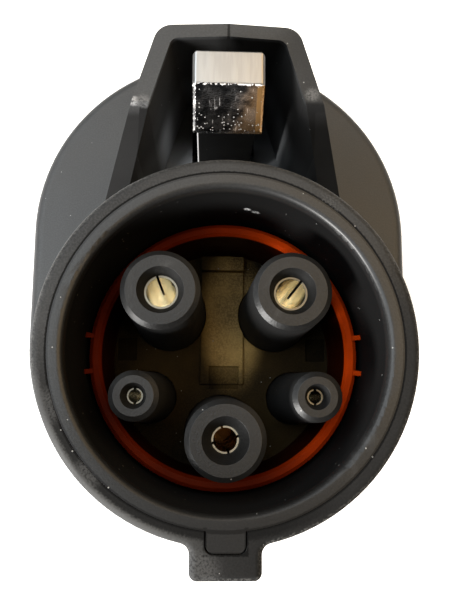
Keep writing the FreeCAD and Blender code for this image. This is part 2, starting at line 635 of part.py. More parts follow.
def make_release_button():
    """Thumb button: crowned pad with cross ribs, inner flange and a stem down to the lever's tail."""
    top_y = top_skin_y + button_proud
    flange_y = body_top_y + math.sqrt((body_r - wall) ** 2 - (button_half_x + button_flange) ** 2) - loose_gap
    pad = button_place(0.0, flange_y - root_overlap, top_y)
    crown_r = (button_half_z ** 2 + button_crown ** 2) / (2 * button_crown)
    crown = cyl_x(crown_r, -beyond, beyond, top_y - crown_r, tail_z)
    pad = pad.common(crown)
    flange = rounded_plate(button_half_x + button_flange, button_half_z + button_flange, button_corner_r,
                           flange_y - button_flange_thick, flange_y, tail_z)
    stem_y = tail_high_y + button_stem_gap
    dome = Part.makeSphere(button_dome_r, V(0, stem_y + button_dome_r, tail_z))
    stem = cyl_y(button_stem_r, stem_y, stem_y + button_dome_r / 2, 0, tail_z).common(dome)
    stem = stem.fuse(cyl_y(button_stem_r, stem_y + button_dome_r / 2, flange_y - root_overlap, 0, tail_z))
    first = tail_z - grip_pitch * (grip_count - 1) / 2
    ribs = []
    for number in range(grip_count):
        z = first + number * grip_pitch
        surface = top_y - crown_r + math.sqrt(crown_r ** 2 - (z - tail_z) ** 2)
        ribs.append(block(grip_inset - button_half_x, button_half_x - grip_inset, surface - grip_height,
                          surface + grip_height, z - grip_width / 2, z + grip_width / 2))
    return joined([pad, flange, stem] + ribs)


def make_circuit_board():
    """Board on the shelf, with a round hole that lets the latch's spring through."""
    board = block(-board_half_x, board_half_x, shelf_y, shelf_y + board_thick,
                  tail_z - board_rear_setback, barrel_rear_z - board_front_setback)
    return board.cut(cyl_y(spring_r + spring_wire_r + loose_gap, 0, beyond, 0, tail_z))


def make_micro_switch():
    low, front_z = shelf_y + board_thick, barrel_rear_z - switch_front_setback
    body = block(-switch_half_x, switch_half_x, low, low + switch_height, front_z - switch_length, front_z)
    well_y = low + switch_height - plunger_sunk - plunger_travel
    return body.cut(cyl_y(plunger_r + fit_gap, well_y, beyond, 0, plunger_z))


def make_switch_plunger():
    share = (pivot_z - plunger_z) / (pivot_z - tail_z - tail_length / 2)
    under = arm_low_y + (tail_low_y - arm_low_y) * share
    low = shelf_y + board_thick + switch_height - plunger_sunk
    body = cyl_y(plunger_r, low, under - plunger_r - loose_gap, 0, plunger_z)
    tip = Part.makeSphere(plunger_r, V(0, under - plunger_r - loose_gap, plunger_z))
    return joined([body, tip])


def inlet_places():
    """The five pins of the inlet: places about the plug's axis, radii, and setbacks from the rim."""
    power = (inlet_power_hole_r, power_pin_r, power_lead_r, power_pin_setback)
    signal = (inlet_signal_hole_r, signal_pin_r, signal_lead_r, signal_pin_setback)
    signal_y = inlet_y + inlet_signal_y
    return [InletPlace("line", -inlet_power_pitch, inlet_y, *power),
            InletPlace("neutral", inlet_power_pitch, inlet_y, *power),
            InletPlace("earth", 0.0, inlet_y, *power),
            InletPlace("proximity", -inlet_signal_x, signal_y, *signal),
            InletPlace("pilot", inlet_signal_x, signal_y, *signal)]


def make_rear_collar():
    """Round collar of the inlet with a flat inside its top, a lock groove and a seat for the core."""
    ring = cyl(inlet_collar_r, 0.0, inlet_base_end_z, 0, inlet_y)
    ring = ring.makeFillet(inlet_rim_round, edges_at_height(ring, 0.0))
    bore = cyl(inlet_bore_r, -overrun, inlet_base_z, 0, inlet_y)
    flat = block(-beyond, beyond, inlet_y + inlet_flat_y, beyond, -beyond, inlet_base_z)
    seat = cyl(inlet_base_r, inlet_base_z, inlet_base_end_z + overrun, 0, inlet_y)
    groove_r = inlet_collar_r - inlet_lock_depth
    groove = rib_ring(inlet_lock_z, inlet_lock_z + inlet_lock_width, groove_r, inlet_y)
    return ring.cut(bore.cut(flat)).cut(seat).cut(groove)


def make_inlet_core():
    """Insulator of the inlet: flat topped plug with seven wells, on a round base."""
    base = cyl(inlet_base_r - fit_gap, inlet_base_z + fit_gap, inlet_base_end_z, 0, inlet_y)
    core = cyl(inlet_core_r, inlet_core_setback, inlet_base_z + overrun, 0, inlet_y)
    flat_y = inlet_y + inlet_core_flat
    core = core.cut(block(-beyond, beyond, flat_y, beyond, -beyond, inlet_base_z + fit_gap))
    body = joined([base, core])
    wells = [(p.x, p.y, p.hole_r) for p in inlet_places()]
    wells += [(side * inlet_low_x, inlet_y + inlet_low_y, inlet_power_hole_r) for side in (-1, 1)]
    for x, y, hole_r in wells:
        body = body.cut(cyl(hole_r, inlet_core_setback - overrun, inlet_base_z, x, y))
    flange_z, end_z = inlet_base_end_z - pin_flange_thick, inlet_base_end_z + overrun
    for p in inlet_places():
        body = body.cut(cyl(p.pin_r + pin_seat_over + fit_gap, inlet_base_z - overrun, end_z, p.x, p.y))
        body = body.cut(cyl(p.pin_r + pin_flange_over + fit_gap, flange_z, end_z, p.x, p.y))
    for x, y in inlet_screw_places:
        body = body.cut(cyl(small_screw_r, inlet_base_end_z - small_screw_length, end_z, x, inlet_y + y))
    return body


def make_pin(p):
    """Turned pin: rounded tip, thicker root and flange seated in the core, and a crimp barrel."""
    crimp_end_z = inlet_base_end_z + retainer_thick + pin_crimp_length
    body = cyl(p.pin_r, p.setback, inlet_base_end_z, p.x, p.y)
    body = body.makeFillet(p.pin_r * pin_tip_share, edges_at_height(body, p.setback))
    root = cyl(p.pin_r + pin_seat_over, inlet_base_z, inlet_base_end_z, p.x, p.y)
    flange_z = inlet_base_end_z - pin_flange_thick + fit_gap
    flange = cyl(p.pin_r + pin_flange_over, flange_z, inlet_base_end_z, p.x, p.y)
    crimp = cyl(crimp_r(p.lead_r), inlet_base_end_z, crimp_end_z, p.x, p.y)
    hole = cyl(p.lead_r + fit_gap, crimp_end_z - crimp_hole_depth, crimp_end_z + overrun, p.x, p.y)
    return joined([body, root, flange, crimp]).cut(hole)


def make_lead(start, end, lead_r, straight):
    """Insulated lead from a crimp of the plug down to a crimp of the inlet, two bends in one plane."""
    top, low = V(*start), V(*end)
    bend_top = V(top.x, top.y, top.z - straight)
    bend_low = V(low.x, low.y, low.z + straight)
    points = [top, bend_top, bend_low, low]
    edges, at = [], top
    for i in (1, 2):
        before, here, after = points[i - 1], points[i], points[i + 1]
        to_before, to_after = (before - here).normalize(), (after - here).normalize()
        turn = math.pi - to_before.getAngle(to_after)
        trim = lead_bend_share * min((before - here).Length, (after - here).Length)
        radius = trim / math.tan(turn / 2)
        a, b = here + to_before * trim, here + to_after * trim
        middle_way = (to_before + to_after).normalize()
        middle = here + middle_way * (radius / math.cos(turn / 2) - radius)
        edges += [Part.makeLine(at, a), Part.Arc(a, middle, b).toShape()]
        at = b
    edges.append(Part.makeLine(at, low))
    path = Part.Wire(edges)
    ring = Part.Wire(Part.makeCircle(lead_r, top, AXIS_Z))
    lead = path.makePipeShell([ring], True, False)
    expected = math.pi * lead_r ** 2 * path.Length
    print("lead length %.1f mm, volume %.1f of %.1f mm3" % (path.Length, lead.Volume, expected))
    return lead


def build_parts():
    parts = {}
    parts["housing_left"], parts["housing_right"] = make_halves()
    parts["housing_screws"] = Part.makeCompound([case_screw(y, z) for y, z in case_screw_places])
    parts["front_collar"] = make_front_collar()
    parts["nose_barrel"] = make_nose_barrel()
    parts["contact_carrier"] = make_contact_carrier()
    parts["floor_plate"] = make_floor_plate()
    parts["face_seal"] = make_face_seal()
    seat_z = boss_end_z - retainer_thick
    holes = [(p.x, p.y, crimp_r(p.lead_r) + fit_gap) for p in plug_places()]
    parts["contact_retainer"] = retainer(plug_retainer_r, seat_z, 0.0, holes, plug_screw_places)
    parts["contact_screws"] = Part.makeCompound([small_screw(x, y, seat_z, 1) for x, y in plug_screw_places])
    parts["rear_collar"] = make_rear_collar()
    parts["inlet_core"] = make_inlet_core()
    holes = [(p.x, p.y - inlet_y, crimp_r(p.lead_r) + fit_gap) for p in inlet_places()]
    parts["pin_retainer"] = retainer(inlet_retainer_r, inlet_base_end_z, inlet_y, holes, inlet_screw_places)
    top_z = inlet_base_end_z + retainer_thick
    pin_screws = [small_screw(x, inlet_y + y, top_z, -1) for x, y in inlet_screw_places]
    parts["pin_screws"] = Part.makeCompound(pin_screws)
    lead_top_z = boss_end_z - retainer_thick - crimp_length + crimp_hole_depth
    lead_low_z = inlet_base_end_z + retainer_thick + pin_crimp_length - crimp_hole_depth
    pins = {q.name: q for q in inlet_places()}
    for p in plug_places():
        q = pins[p.name]
        parts["contact_" + p.name] = make_contact(p)
        parts["pin_" + p.name] = make_pin(q)
        parts["lead_" + p.name] = make_lead((p.x, p.y, lead_top_z), (q.x, q.y, lead_low_z), p.lead_r,
                                            crimp_hole_depth + lead_straight)
    parts["latch_lever"] = make_latch_lever()
    parts["latch_hook"] = make_latch_hook()
    parts["latch_pin"] = make_latch_pin()
    parts["latch_spring"] = make_latch_spring()
    parts["release_button"] = make_release_button()
    parts["circuit_board"] = make_circuit_board()
    parts["micro_switch"] = make_micro_switch()
    parts["switch_plunger"] = make_switch_plunger()
    return parts


def main():
    os.makedirs("parts", exist_ok=True)
    for name, shape in build_parts().items():
        shape = solids_only(shape)
        shape.translate(V(0, -inlet_y, 0))
        print(name, "solids", len(shape.Solids), "valid", shape.isValid(), "volume %.1f" % shape.Volume)
        shape.exportStep(os.path.join("parts", name + ".step"))


main()
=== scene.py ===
"""Charging adapter: finishes, fine pieces and studio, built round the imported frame."""

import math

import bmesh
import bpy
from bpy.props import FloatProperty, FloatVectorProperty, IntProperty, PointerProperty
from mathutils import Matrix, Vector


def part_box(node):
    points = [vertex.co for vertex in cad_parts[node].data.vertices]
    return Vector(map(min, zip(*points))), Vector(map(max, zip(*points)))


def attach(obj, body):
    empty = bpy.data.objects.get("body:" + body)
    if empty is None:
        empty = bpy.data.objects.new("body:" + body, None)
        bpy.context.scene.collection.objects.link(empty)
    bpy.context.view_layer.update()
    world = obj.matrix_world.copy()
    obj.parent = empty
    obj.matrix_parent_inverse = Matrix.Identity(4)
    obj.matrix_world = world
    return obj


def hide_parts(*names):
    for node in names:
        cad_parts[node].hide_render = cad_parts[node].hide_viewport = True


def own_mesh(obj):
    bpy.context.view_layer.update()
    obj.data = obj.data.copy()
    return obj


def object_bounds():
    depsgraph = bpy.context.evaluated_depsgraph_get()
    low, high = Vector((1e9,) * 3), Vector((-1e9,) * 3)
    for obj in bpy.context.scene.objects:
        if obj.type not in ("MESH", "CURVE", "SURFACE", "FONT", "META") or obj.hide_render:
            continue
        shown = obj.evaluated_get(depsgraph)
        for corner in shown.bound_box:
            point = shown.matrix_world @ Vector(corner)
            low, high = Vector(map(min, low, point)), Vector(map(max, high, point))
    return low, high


bl_info = {
    "name": "Charging adapter",
    "version": (1, 0, 0),
    "blender": (4, 5, 0),
    "location": "View3D > Sidebar > Adapter",
    "description": "Dresses the charging adapter's frame with its moulded, rubber and metal finishes",
    "category": "Object",
}

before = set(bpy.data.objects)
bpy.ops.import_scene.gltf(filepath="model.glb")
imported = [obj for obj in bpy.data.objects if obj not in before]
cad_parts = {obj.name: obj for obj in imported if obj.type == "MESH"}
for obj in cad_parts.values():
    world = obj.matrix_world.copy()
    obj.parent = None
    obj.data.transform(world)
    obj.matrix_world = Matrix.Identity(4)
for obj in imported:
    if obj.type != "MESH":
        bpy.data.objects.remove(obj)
cad_low, cad_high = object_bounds()

MM = 0.001


def middle(node):
    """Centre of a node's box at rest."""
    low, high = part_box(node)
    return (low + high) / 2


# Places taken from the frame
RIM_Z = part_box("front_collar")[1].z
SEAL_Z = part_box("face_seal")[1].z
FLOOR_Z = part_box("face_seal")[0].z
CONTACT_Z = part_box("contact_earth")[1].z
PLUG_X = 0.0
PLUG_Y = middle("face_seal").y
KEY_EDGE_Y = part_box("front_collar")[0].y
HOOK_TIP_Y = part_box("latch_hook")[0].y
LEVER_LEFT_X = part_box("latch_lever")[0].x

# Places measured from those
SHOULDER_Z = RIM_Z - 45 * MM
HOOK_EDGE_Y = HOOK_TIP_Y + 3.9 * MM
KINK_Y = PLUG_Y + 30 * MM

# Radii about the plug's axis, and the gap round the narrow key
SEAM_R = 20.05 * MM
COLLAR_R = 21.9 * MM
ROUNDING_R = COLLAR_R - 0.9 * MM
ENDLESS = 1000 * MM
KEY_GAP_HALF = 2.23 * MM
KEY_GAP_REACH = 22.33 * MM
KEY_GAP_START = SEAM_R - 0.5 * MM

# Where rubbed and soiled areas and areas of painted light and shade start and end, HOOD_LEAN as a share and
# WALL_SLOPE as cosines
LIP_Z = (RIM_Z - 2.2 * MM, RIM_Z - 1.2 * MM)
LIP_Y = (PLUG_Y - 12 * MM, PLUG_Y + 1 * MM)
BORE_Z = (RIM_Z - 2 * MM, RIM_Z - 1 * MM)
LOW_END_Y = (PLUG_Y - 21.5 * MM, PLUG_Y - 6 * MM)
EDGE_START_Z = (RIM_Z - 1.4 * MM, RIM_Z - 0.8 * MM)
EDGE_END_Z = (RIM_Z - 0.2 * MM, RIM_Z - 0.04 * MM)
HOOD_FRONT_Z = (RIM_Z - 4.5 * MM, RIM_Z - 3.5 * MM)
HOOD_RIGHT_X = (4.5 * MM, 10 * MM)
HOOD_BEHIND_Z = (RIM_Z - 4.2 * MM, RIM_Z - 3.2 * MM)
HOOD_DEEP_Z = (RIM_Z - 22 * MM, RIM_Z - 14.5 * MM)
HOOD_WALL_Y = (PLUG_Y + 31 * MM, PLUG_Y + 37.2 * MM)
HOOD_WALL_X = (8.4 * MM, 10.2 * MM)
HOOD_HALF = 12.5 * MM
HOOD_LEAN = 0.33
HOOD_MOUTH = 20.7 * MM
HOOD_FOOT_Z = SHOULDER_Z + 3 * MM
LEG_TOP_Y = (KINK_Y - 1 * MM, KINK_Y - 0.1 * MM)
LEG_FOOT_Z = (HOOD_FOOT_Z, HOOD_FOOT_Z + 3 * MM)
RIGHT_LEG_RISE = 0.9 * MM
LEVER_EDGE_X = (LEVER_LEFT_X + 0.1 * MM, LEVER_LEFT_X + 0.22 * MM)
SEAL_DEEP_Z = (SEAL_Z - 1 * MM, SEAL_Z - 0.3 * MM)
SEAL_SHADED = (-2 * MM, 14 * MM)
CONTACT_FACE_Z = (CONTACT_Z - 0.2 * MM, CONTACT_Z - 0.1 * MM)
HOOK_RIDGE_Y = (HOOK_EDGE_Y, HOOK_EDGE_Y + 0.06 * MM)
HOOK_FRONT_Y = (HOOK_EDGE_Y + 0.12 * MM, HOOK_EDGE_Y + 0.22 * MM)
HOOK_PITTED_Y = (HOOK_TIP_Y + 0.8 * MM, HOOK_TIP_Y + 2.4 * MM)
HOOK_STAIN_X = (3.4 * MM, 5.6 * MM)
HOOK_SIDE_X = (3.2 * MM, 3.6 * MM)
WALL_SLOPE = (0.15, 0.5)

# Flat directions from the plug's axis
LOWER_LEFT = (-0.5, -0.87, 0.0)
LOWER_RIGHT = (0.77, -0.64, 0.0)
RUBBED_SIDE = (-0.70, -0.71, 0.0)
SEAL_SIDE = (0.9, 0.3, 0.0)

# Ragged lines of grime, as how far the grain moves their edges and where those start and end
SEAM_LINE = (0.2 * MM, 0.27 * MM, 0.36 * MM)
SPLIT_LINE = (0.2 * MM, 0.21 * MM, 0.34 * MM)
KEY_LINE = (0.3 * MM, 0.30 * MM, 0.42 * MM)
RING_WANDER = 0.6 * MM

# Tones that the finishes share; SOIL_AND_SHADE darkens both real grime and painted shade
SOIL_AND_SHADE = (0.0008, 0.0008, 0.0008)
STREAK = (0.09, 0.09, 0.09)
DUST = (0.30, 0.30, 0.29)

# Scratched patches, as places, reaches, tones and whether they are smooth
KINK_MARKS = (((-11.6 * MM, KINK_Y, RIM_Z - 3.1 * MM), 0.9 * MM, 0.30, True),
              ((-10.4 * MM, KINK_Y, RIM_Z - 3.2 * MM), 1.2 * MM, 0.10, True),
              ((10.4 * MM, KINK_Y + 1.4 * MM, RIM_Z - 3.0 * MM), 1.2 * MM, 0.09, True))
BARREL_MARKS = (((2.7 * MM, PLUG_Y + 18.1 * MM, RIM_Z - 8.1 * MM), 0.6 * MM, 0.8, True),
                ((3.8 * MM, PLUG_Y + 17.9 * MM, RIM_Z - 8.7 * MM), 0.7 * MM, 0.4, True))
COLLAR_MARKS = (((-1.6 * MM, KEY_EDGE_Y, RIM_Z - 0.4 * MM), 1.2 * MM, 0.05, False),
                ((-3.2 * MM, KEY_EDGE_Y + 1.0 * MM, RIM_Z), 3.4 * MM, 0.045, True),
                ((-19.6 * MM, PLUG_Y - 6.8 * MM, RIM_Z), 2.6 * MM, 0.035, True),
                ((-15.0 * MM, PLUG_Y - 14.0 * MM, RIM_Z), 2.2 * MM, 0.035, True),
                ((12.0 * MM, PLUG_Y + 16.6 * MM, RIM_Z), 2.0 * MM, 0.045, False))

# Sunk pads in the cavity's floor, as middles and half sizes
SUNK_PADS = ((0.3 * MM, PLUG_Y - 2.6 * MM, 2.2 * MM, 1.65 * MM),
             (-14.2 * MM, PLUG_Y + 1.6 * MM, 1.4 * MM, 1.7 * MM),
             (14.2 * MM, PLUG_Y + 1.6 * MM, 1.4 * MM, 1.7 * MM))

# Lit middle of the cavity's floor, spared the painted shade that darkens the floor all round it, as its
# place, its reach and how many times narrower it is across X
FLOOR_LIT_MIDDLE = ((1.6 * MM, PLUG_Y + 6.4 * MM, FLOOR_Z), 14 * MM, 2.2)

# Lamps, as names, places, sides, colours and the properties that hold their powers
LAMPS = (("Cool lamp", (-0.31, 0.14, 0.64), 0.62, (0.88, 0.95, 1.0), "cool_power"),
         ("Warm lamp", (0.33, 0.14, 0.62), 0.62, (1.0, 0.72, 0.40), "warm_power"),
         ("Low lamp", (-0.45, -0.40, 0.37), 0.22, (1.0, 0.98, 0.95), "low_power"))

# Half side of the studio's floor, its drop below the adapter, and the camera's frame in millimetres
STUDIO_FLOOR_HALF = 1500 * MM
STUDIO_FLOOR_DROP = 0.2 * MM
CAMERA_FRAME = 36

CONTACT_NAMES = ("line", "neutral", "earth", "pilot", "proximity")


class AdapterFinish(bpy.types.PropertyGroup):
    """Colours and grain of the adapter's materials."""

    shell_colour: FloatVectorProperty(
        name="Housing", description="Moulded plastic of the two housing halves", subtype="COLOR",
        size=3, min=0, max=1, default=(0.031, 0.032, 0.033))
    nose_colour: FloatVectorProperty(
        name="Nose", description="Moulded plastic of the nose's collar and barrel", subtype="COLOR",
        size=3, min=0, max=1, default=(0.0098, 0.0098, 0.0098))
    tube_colour: FloatVectorProperty(
        name="Tubes", description="Insulating plastic round the contacts", subtype="COLOR",
        size=3, min=0, max=1, default=(0.0075, 0.0075, 0.0075))
    floor_colour: FloatVectorProperty(
        name="Cavity floor", description="Olive brown plate at the bottom of the cavity",
        subtype="COLOR", size=3, min=0, max=1, default=(0.26, 0.17, 0.055))
    seal_colour: FloatVectorProperty(
        name="Seal", description="Red orange silicone ring", subtype="COLOR",
        size=3, min=0, max=1, default=(0.56, 0.046, 0.0))
    contact_colour: FloatVectorProperty(
        name="Contacts", description="Pale gold plating of the contacts", subtype="COLOR",
        size=3, min=0, max=1, default=(0.92, 0.86, 0.69))
    hook_colour: FloatVectorProperty(
        name="Hook", description="Bright plating of the latch hook", subtype="COLOR",
        size=3, min=0, max=1, default=(0.785, 0.77, 0.75))
    stain_colour: FloatVectorProperty(
        name="Hook stain", description="Brown stain on the right of the hook's ramp",
        subtype="COLOR", size=3, min=0, max=1, default=(0.75, 0.42, 0.16))
    grain_scale: FloatProperty(
        name="Grain", description="Grain marks for each metre of moulded surface",
        min=100, max=10000, default=4000)
    grain_height: FloatProperty(
        name="Grain height", description="Height of the moulded grain", subtype="DISTANCE",
        unit="LENGTH", min=0, max=0.001, precision=6, default=0.00003)


class AdapterShape(bpy.types.PropertyGroup):
    """Sizes of the softened edges."""

    shell_edge: FloatProperty(
        name="Housing edge", description="Rounding of the housing's edges, also along its split",
        subtype="DISTANCE", unit="LENGTH", min=0, max=0.002, precision=5, default=0.00016)
    moulded_edge: FloatProperty(
        name="Moulded edge", description="Rounding of the smaller moulded edges",
        subtype="DISTANCE", unit="LENGTH", min=0, max=0.001, precision=5, default=0.00018)
    metal_edge: FloatProperty(
        name="Metal edge", description="Rounding of the pins' edges; contacts and hook take a share of it",
        subtype="DISTANCE", unit="LENGTH", min=0, max=0.001, precision=5, default=0.00008)
    round_steps: IntProperty(
        name="Round steps", description="Faces across a rounded edge", min=1, max=8, default=3)


class AdapterStudio(bpy.types.PropertyGroup):
    """Camera, lamps and floor."""

    camera_place: FloatVectorProperty(
        name="Camera", description="Place of the camera's lens", subtype="TRANSLATION", unit="LENGTH",
        size=3, precision=5, default=(PLUG_X - 0.00232, PLUG_Y - 0.00636, RIM_Z + 0.075))
    camera_tilt: FloatVectorProperty(
        name="Camera tilt", description="Turn of the camera from straight down", subtype="EULER",
        size=3, precision=3, default=tuple(math.radians(a) for a in (8.689, -2.252, 0.353)))
    lens: FloatProperty(
        name="Lens", description="Focal length in millimetres over a frame 36 mm high",
        min=10, max=200, default=40.41)
    floor_tone: FloatVectorProperty(
        name="Floor", description="Pale floor under the adapter", subtype="COLOR",
        size=3, min=0, max=1, default=(0.93, 0.93, 0.93))
    sky_strength: FloatProperty(
        name="Room light", description="Strength of the even light of the room",
        min=0, max=5, default=0.08)
    cool_power: FloatProperty(
        name="Cool lamp", description="Power of the cool lamp over the left side",
        subtype="POWER", unit="POWER", min=0, max=100, default=4.4)
    warm_power: FloatProperty(
        name="Warm lamp", description="Power of the warm lamp over the right side",
        subtype="POWER", unit="POWER", min=0, max=100, default=3.2)
    low_power: FloatProperty(
        name="Low lamp", description="Power of the lamp below and left of the picture",
        subtype="POWER", unit="POWER", min=0, max=100, default=10.0)


def finish_of():
    return bpy.context.scene.adapter_finish


def shape_of():
    return bpy.context.scene.adapter_shape


def studio_of():
    return bpy.context.scene.adapter_studio


# Shader node helpers

def fill(tree, node, inputs):
    """Fills a node's inputs, each with a link or a plain value."""
    for name, value in inputs.items():
        if isinstance(value, bpy.types.NodeSocket):
            tree.links.new(value, node.inputs[name])
        else:
            node.inputs[name].default_value = value
    return node


def place(tree, kind, inputs, **options):
    """Adds one node, sets its options, and fills its inputs with numbers, colours or links."""
    node = tree.nodes.new(kind)
    for name, value in options.items():
        setattr(node, name, value)
    return fill(tree, node, inputs)


def maths(tree, operation, first, second=0.0):
    """A Math node's result; the second value is left at 0 where the operation takes one."""
    return place(tree, "ShaderNodeMath", {0: first, 1: second}, operation=operation).outputs[0]


def plus(tree, first, second):
    return maths(tree, "ADD", first, second)


def minus(tree, first, second):
    return maths(tree, "SUBTRACT", first, second)


def times(tree, first, second):
    return maths(tree, "MULTIPLY", first, second)


def unsigned(tree, value):
    """A value without its sign."""
    return maths(tree, "ABSOLUTE", value)


def within(tree, value, centre, half):
    """1 where a value lies no further than half from a centre, else 0."""
    return maths(tree, "LESS_THAN", unsigned(tree, minus(tree, value, centre)), half)


def vectors(tree, operation, first, second=(0.0, 0.0, 0.0), result="Vector"):
    """A Vector Math node's result."""
    node = place(tree, "ShaderNodeVectorMath", {0: first, 1: second}, operation=operation)
    return node.outputs[result]


def spread(tree, value, low, high, start=0.0, end=1.0):
    """Maps a value smoothly from one range to another, clamped at both ends."""
    return place(tree, "ShaderNodeMapRange",
                 {"Value": value, "From Min": low, "From Max": high, "To Min": start, "To Max": end},
                 interpolation_type="SMOOTHSTEP").outputs["Result"]


def along(tree, vector, axis):
    """One axis of a vector."""
    return place(tree, "ShaderNodeSeparateXYZ", {"Vector": vector}).outputs[axis]


def slope(tree, coords, axis, limits, start=0.0, end=1.0):
    """Smooth change along one axis, from start at its low limit to end at its high one."""
    return spread(tree, along(tree, coords, axis), *limits, start, end)


def blend(tree, share, first, second):
    """Mixes two colours by a share."""
    node = tree.nodes.new("ShaderNodeMix")
    node.data_type = "RGBA"
    return fill(tree, node, {0: share, 6: first, 7: second}).outputs[2]


def full(colour, factor=1.0):
    """Colour with alpha, darkened or lightened by a factor."""
    return tuple(min(1.0, c * factor) for c in colour) + (1.0,)


def noise(tree, vector, scale, detail, **more):
    """Noise pattern from 0 to 1."""
    inputs = {"Vector": vector, "Scale": scale, "Detail": detail, **more}
    return place(tree, "ShaderNodeTexNoise", inputs).outputs["Fac"]


def stretched(tree, coords, scale, turn=(0.0, 0.0, 0.0)):
    """Coordinates turned and scaled, to draw a pattern out along one way."""
    return place(tree, "ShaderNodeMapping", {"Vector": coords, "Rotation": turn, "Scale": scale}).outputs[0]


def relief(tree, shader, height, distance):
    """Bumps a shader's surface by a pattern of heights."""
    bump = place(tree, "ShaderNodeBump", {"Height": height, "Distance": distance, "Strength": 1.0})
    tree.links.new(bump.outputs[0], shader["Normal"])


def new_group(name, inputs, outputs):
    """Empty node group with its sockets; a vector input has no default, and outputs are plain values."""
    tree = bpy.data.node_groups.new(name, "ShaderNodeTree")
    for label, default in inputs:
        kind = "NodeSocketVector" if default is None else "NodeSocketFloat"
        socket = tree.interface.new_socket(label, in_out="INPUT", socket_type=kind)
        if default is not None:
            socket.default_value = default
    for label in outputs:
        tree.interface.new_socket(label, in_out="OUTPUT", socket_type="NodeSocketFloat")
    return tree, tree.nodes.new("NodeGroupInput").outputs, tree.nodes.new("NodeGroupOutput").inputs


def grain_group():
    """Fine moulded grain as a height, and slow cloudy change of tone as a mask."""
    tree, given, result = new_group(
        "Moulded grain", [("Vector", None), ("Scale", 2600.0), ("Cloud scale", 60.0)], ["Height", "Cloud"])
    fine = noise(tree, given["Vector"], given["Scale"], 3.0, Roughness=0.6)
    cloud = noise(tree, given["Vector"], given["Cloud scale"], 4.0, Roughness=0.65)
    tree.links.new(fine, result["Height"])
    tree.links.new(spread(tree, cloud, 0.3, 0.7), result["Cloud"])
    return tree


def specks_group():
    """Scattered pale dust specks as a mask."""
    tree, given, result = new_group(
        "Dust specks", [("Vector", None), ("Scale", 500.0), ("Size", 0.18), ("Share", 0.1)], ["Mask"])
    cells = place(tree, "ShaderNodeTexVoronoi", {"Vector": given["Vector"], "Scale": given["Scale"]})
    near = maths(tree, "LESS_THAN", cells.outputs["Distance"], given["Size"])
    pick = place(tree, "ShaderNodeSeparateColor", {"Color": cells.outputs["Color"]})
    chosen = maths(tree, "LESS_THAN", pick.outputs["Red"], given["Share"])
    tree.links.new(times(tree, near, chosen), result["Mask"])
    return tree


def streaks_group():
    """Thin rubbed streaks as a mask."""
    tree, given, result = new_group(
        "Rubbed streaks", [("Vector", None), ("Scale", 120.0), ("Amount", 0.5)], ["Mask"])
    streak = noise(tree, given["Vector"], given["Scale"], 8.0, Roughness=0.75, Distortion=1.2)
    area = noise(tree, given["Vector"], 35.0, 2.0)
    streaks = times(tree, spread(tree, streak, 0.56, 0.72), spread(tree, area, 0.5, 0.65))
    tree.links.new(times(tree, streaks, given["Amount"]), result["Mask"])
    return tree


def patch_group():
    """Soft round patch about a place as a mask."""
    tree, given, result = new_group(
        "Local patch", [("Vector", None), ("Place", None), ("Reach", 0.002)], ["Mask"])
    way = vectors(tree, "SUBTRACT", given["Vector"], given["Place"])
    away = vectors(tree, "LENGTH", way, result="Value")
    share = maths(tree, "DIVIDE", away, given["Reach"])
    tree.links.new(spread(tree, share, 0.35, 1.0, 1.0, 0.0), result["Mask"])
    return tree


def effect(tree, name, maker, inputs):
    """Places a shared node group, made the first time it is asked for, with a material's own values."""
    node = tree.nodes.new("ShaderNodeGroup")
    node.node_tree = bpy.data.node_groups.get(name) or maker()
    return fill(tree, node, inputs).outputs


def grain_of(tree, coords, **inputs):
    """The moulded grain's outputs at a material's own scales."""
    return effect(tree, "Moulded grain", grain_group, {"Vector": coords, **inputs})


def patch_at(tree, coords, at, reach):
    """Mask of a soft round patch."""
    inputs = {"Vector": coords, "Place": at, "Reach": reach}
    return effect(tree, "Local patch", patch_group, inputs)["Mask"]


def new_material(name):
    """Empty material with its Principled shader's inputs and its Object coordinates."""
    material = bpy.data.materials.new(name)
    material.use_nodes = True
    tree = material.node_tree
    tree.nodes.clear()
    shader = tree.nodes.new("ShaderNodeBsdfPrincipled")
    output = tree.nodes.new("ShaderNodeOutputMaterial")
    tree.links.new(shader.outputs[0], output.inputs["Surface"])
    coords = tree.nodes.new("ShaderNodeTexCoord").outputs["Object"]
    return material, tree, shader.inputs, coords


# Masks of the adapter's soiled and rubbed areas and of its painted light and shade, each made from a tree,
# its coordinates and its grain

def rubbed_lip(tree, coords, grain):
    """Mask of the barrel's lip where handling has rubbed it smooth, less so on its low side."""
    return times(tree, slope(tree, coords, "Z", LIP_Z), slope(tree, coords, "Y", LIP_Y, 0.6, 1.0))


def bore(tree, coords, grain):
    """Mask of the barrel's bore, behind its lip, for painted shade deep in it."""
    return slope(tree, coords, "Z", BORE_Z, 1.0, 0.0)


def low_end(tree, coords, grain):
    """Mask of the nose's low end, about its keys, for painted shade: the nose darker towards the bottom."""
    return slope(tree, coords, "Y", LOW_END_Y, 1.0, 0.0)


def front_edges(tree, coords, grain):
    """Mask of the scuffed rounding round the nose's front."""
    start = slope(tree, coords, "Z", EDGE_START_Z)
    end = slope(tree, coords, "Z", EDGE_END_Z, 1.0, 0.0)
    return times(tree, times(tree, start, end), spread(tree, grain, 0.44, 0.60))


def sunk_pads(tree, coords, grain):
    """Mask of the three sunk pads in the cavity's floor."""
    total = 0.0
    for x, y, half_x, half_y in SUNK_PADS:
        near_x = within(tree, along(tree, coords, "X"), x, half_x)
        near_y = within(tree, along(tree, coords, "Y"), y, half_y)
        total = plus(tree, times(tree, near_x, near_y), total)
    return total


def steep_walls(tree, coords, grain):
    """Mask of walls that stand upright, for painted shade on them."""
    facing = tree.nodes.new("ShaderNodeTexCoord").outputs["Normal"]
    return slope(tree, facing, "Z", WALL_SLOPE, 1.0, 0.0)


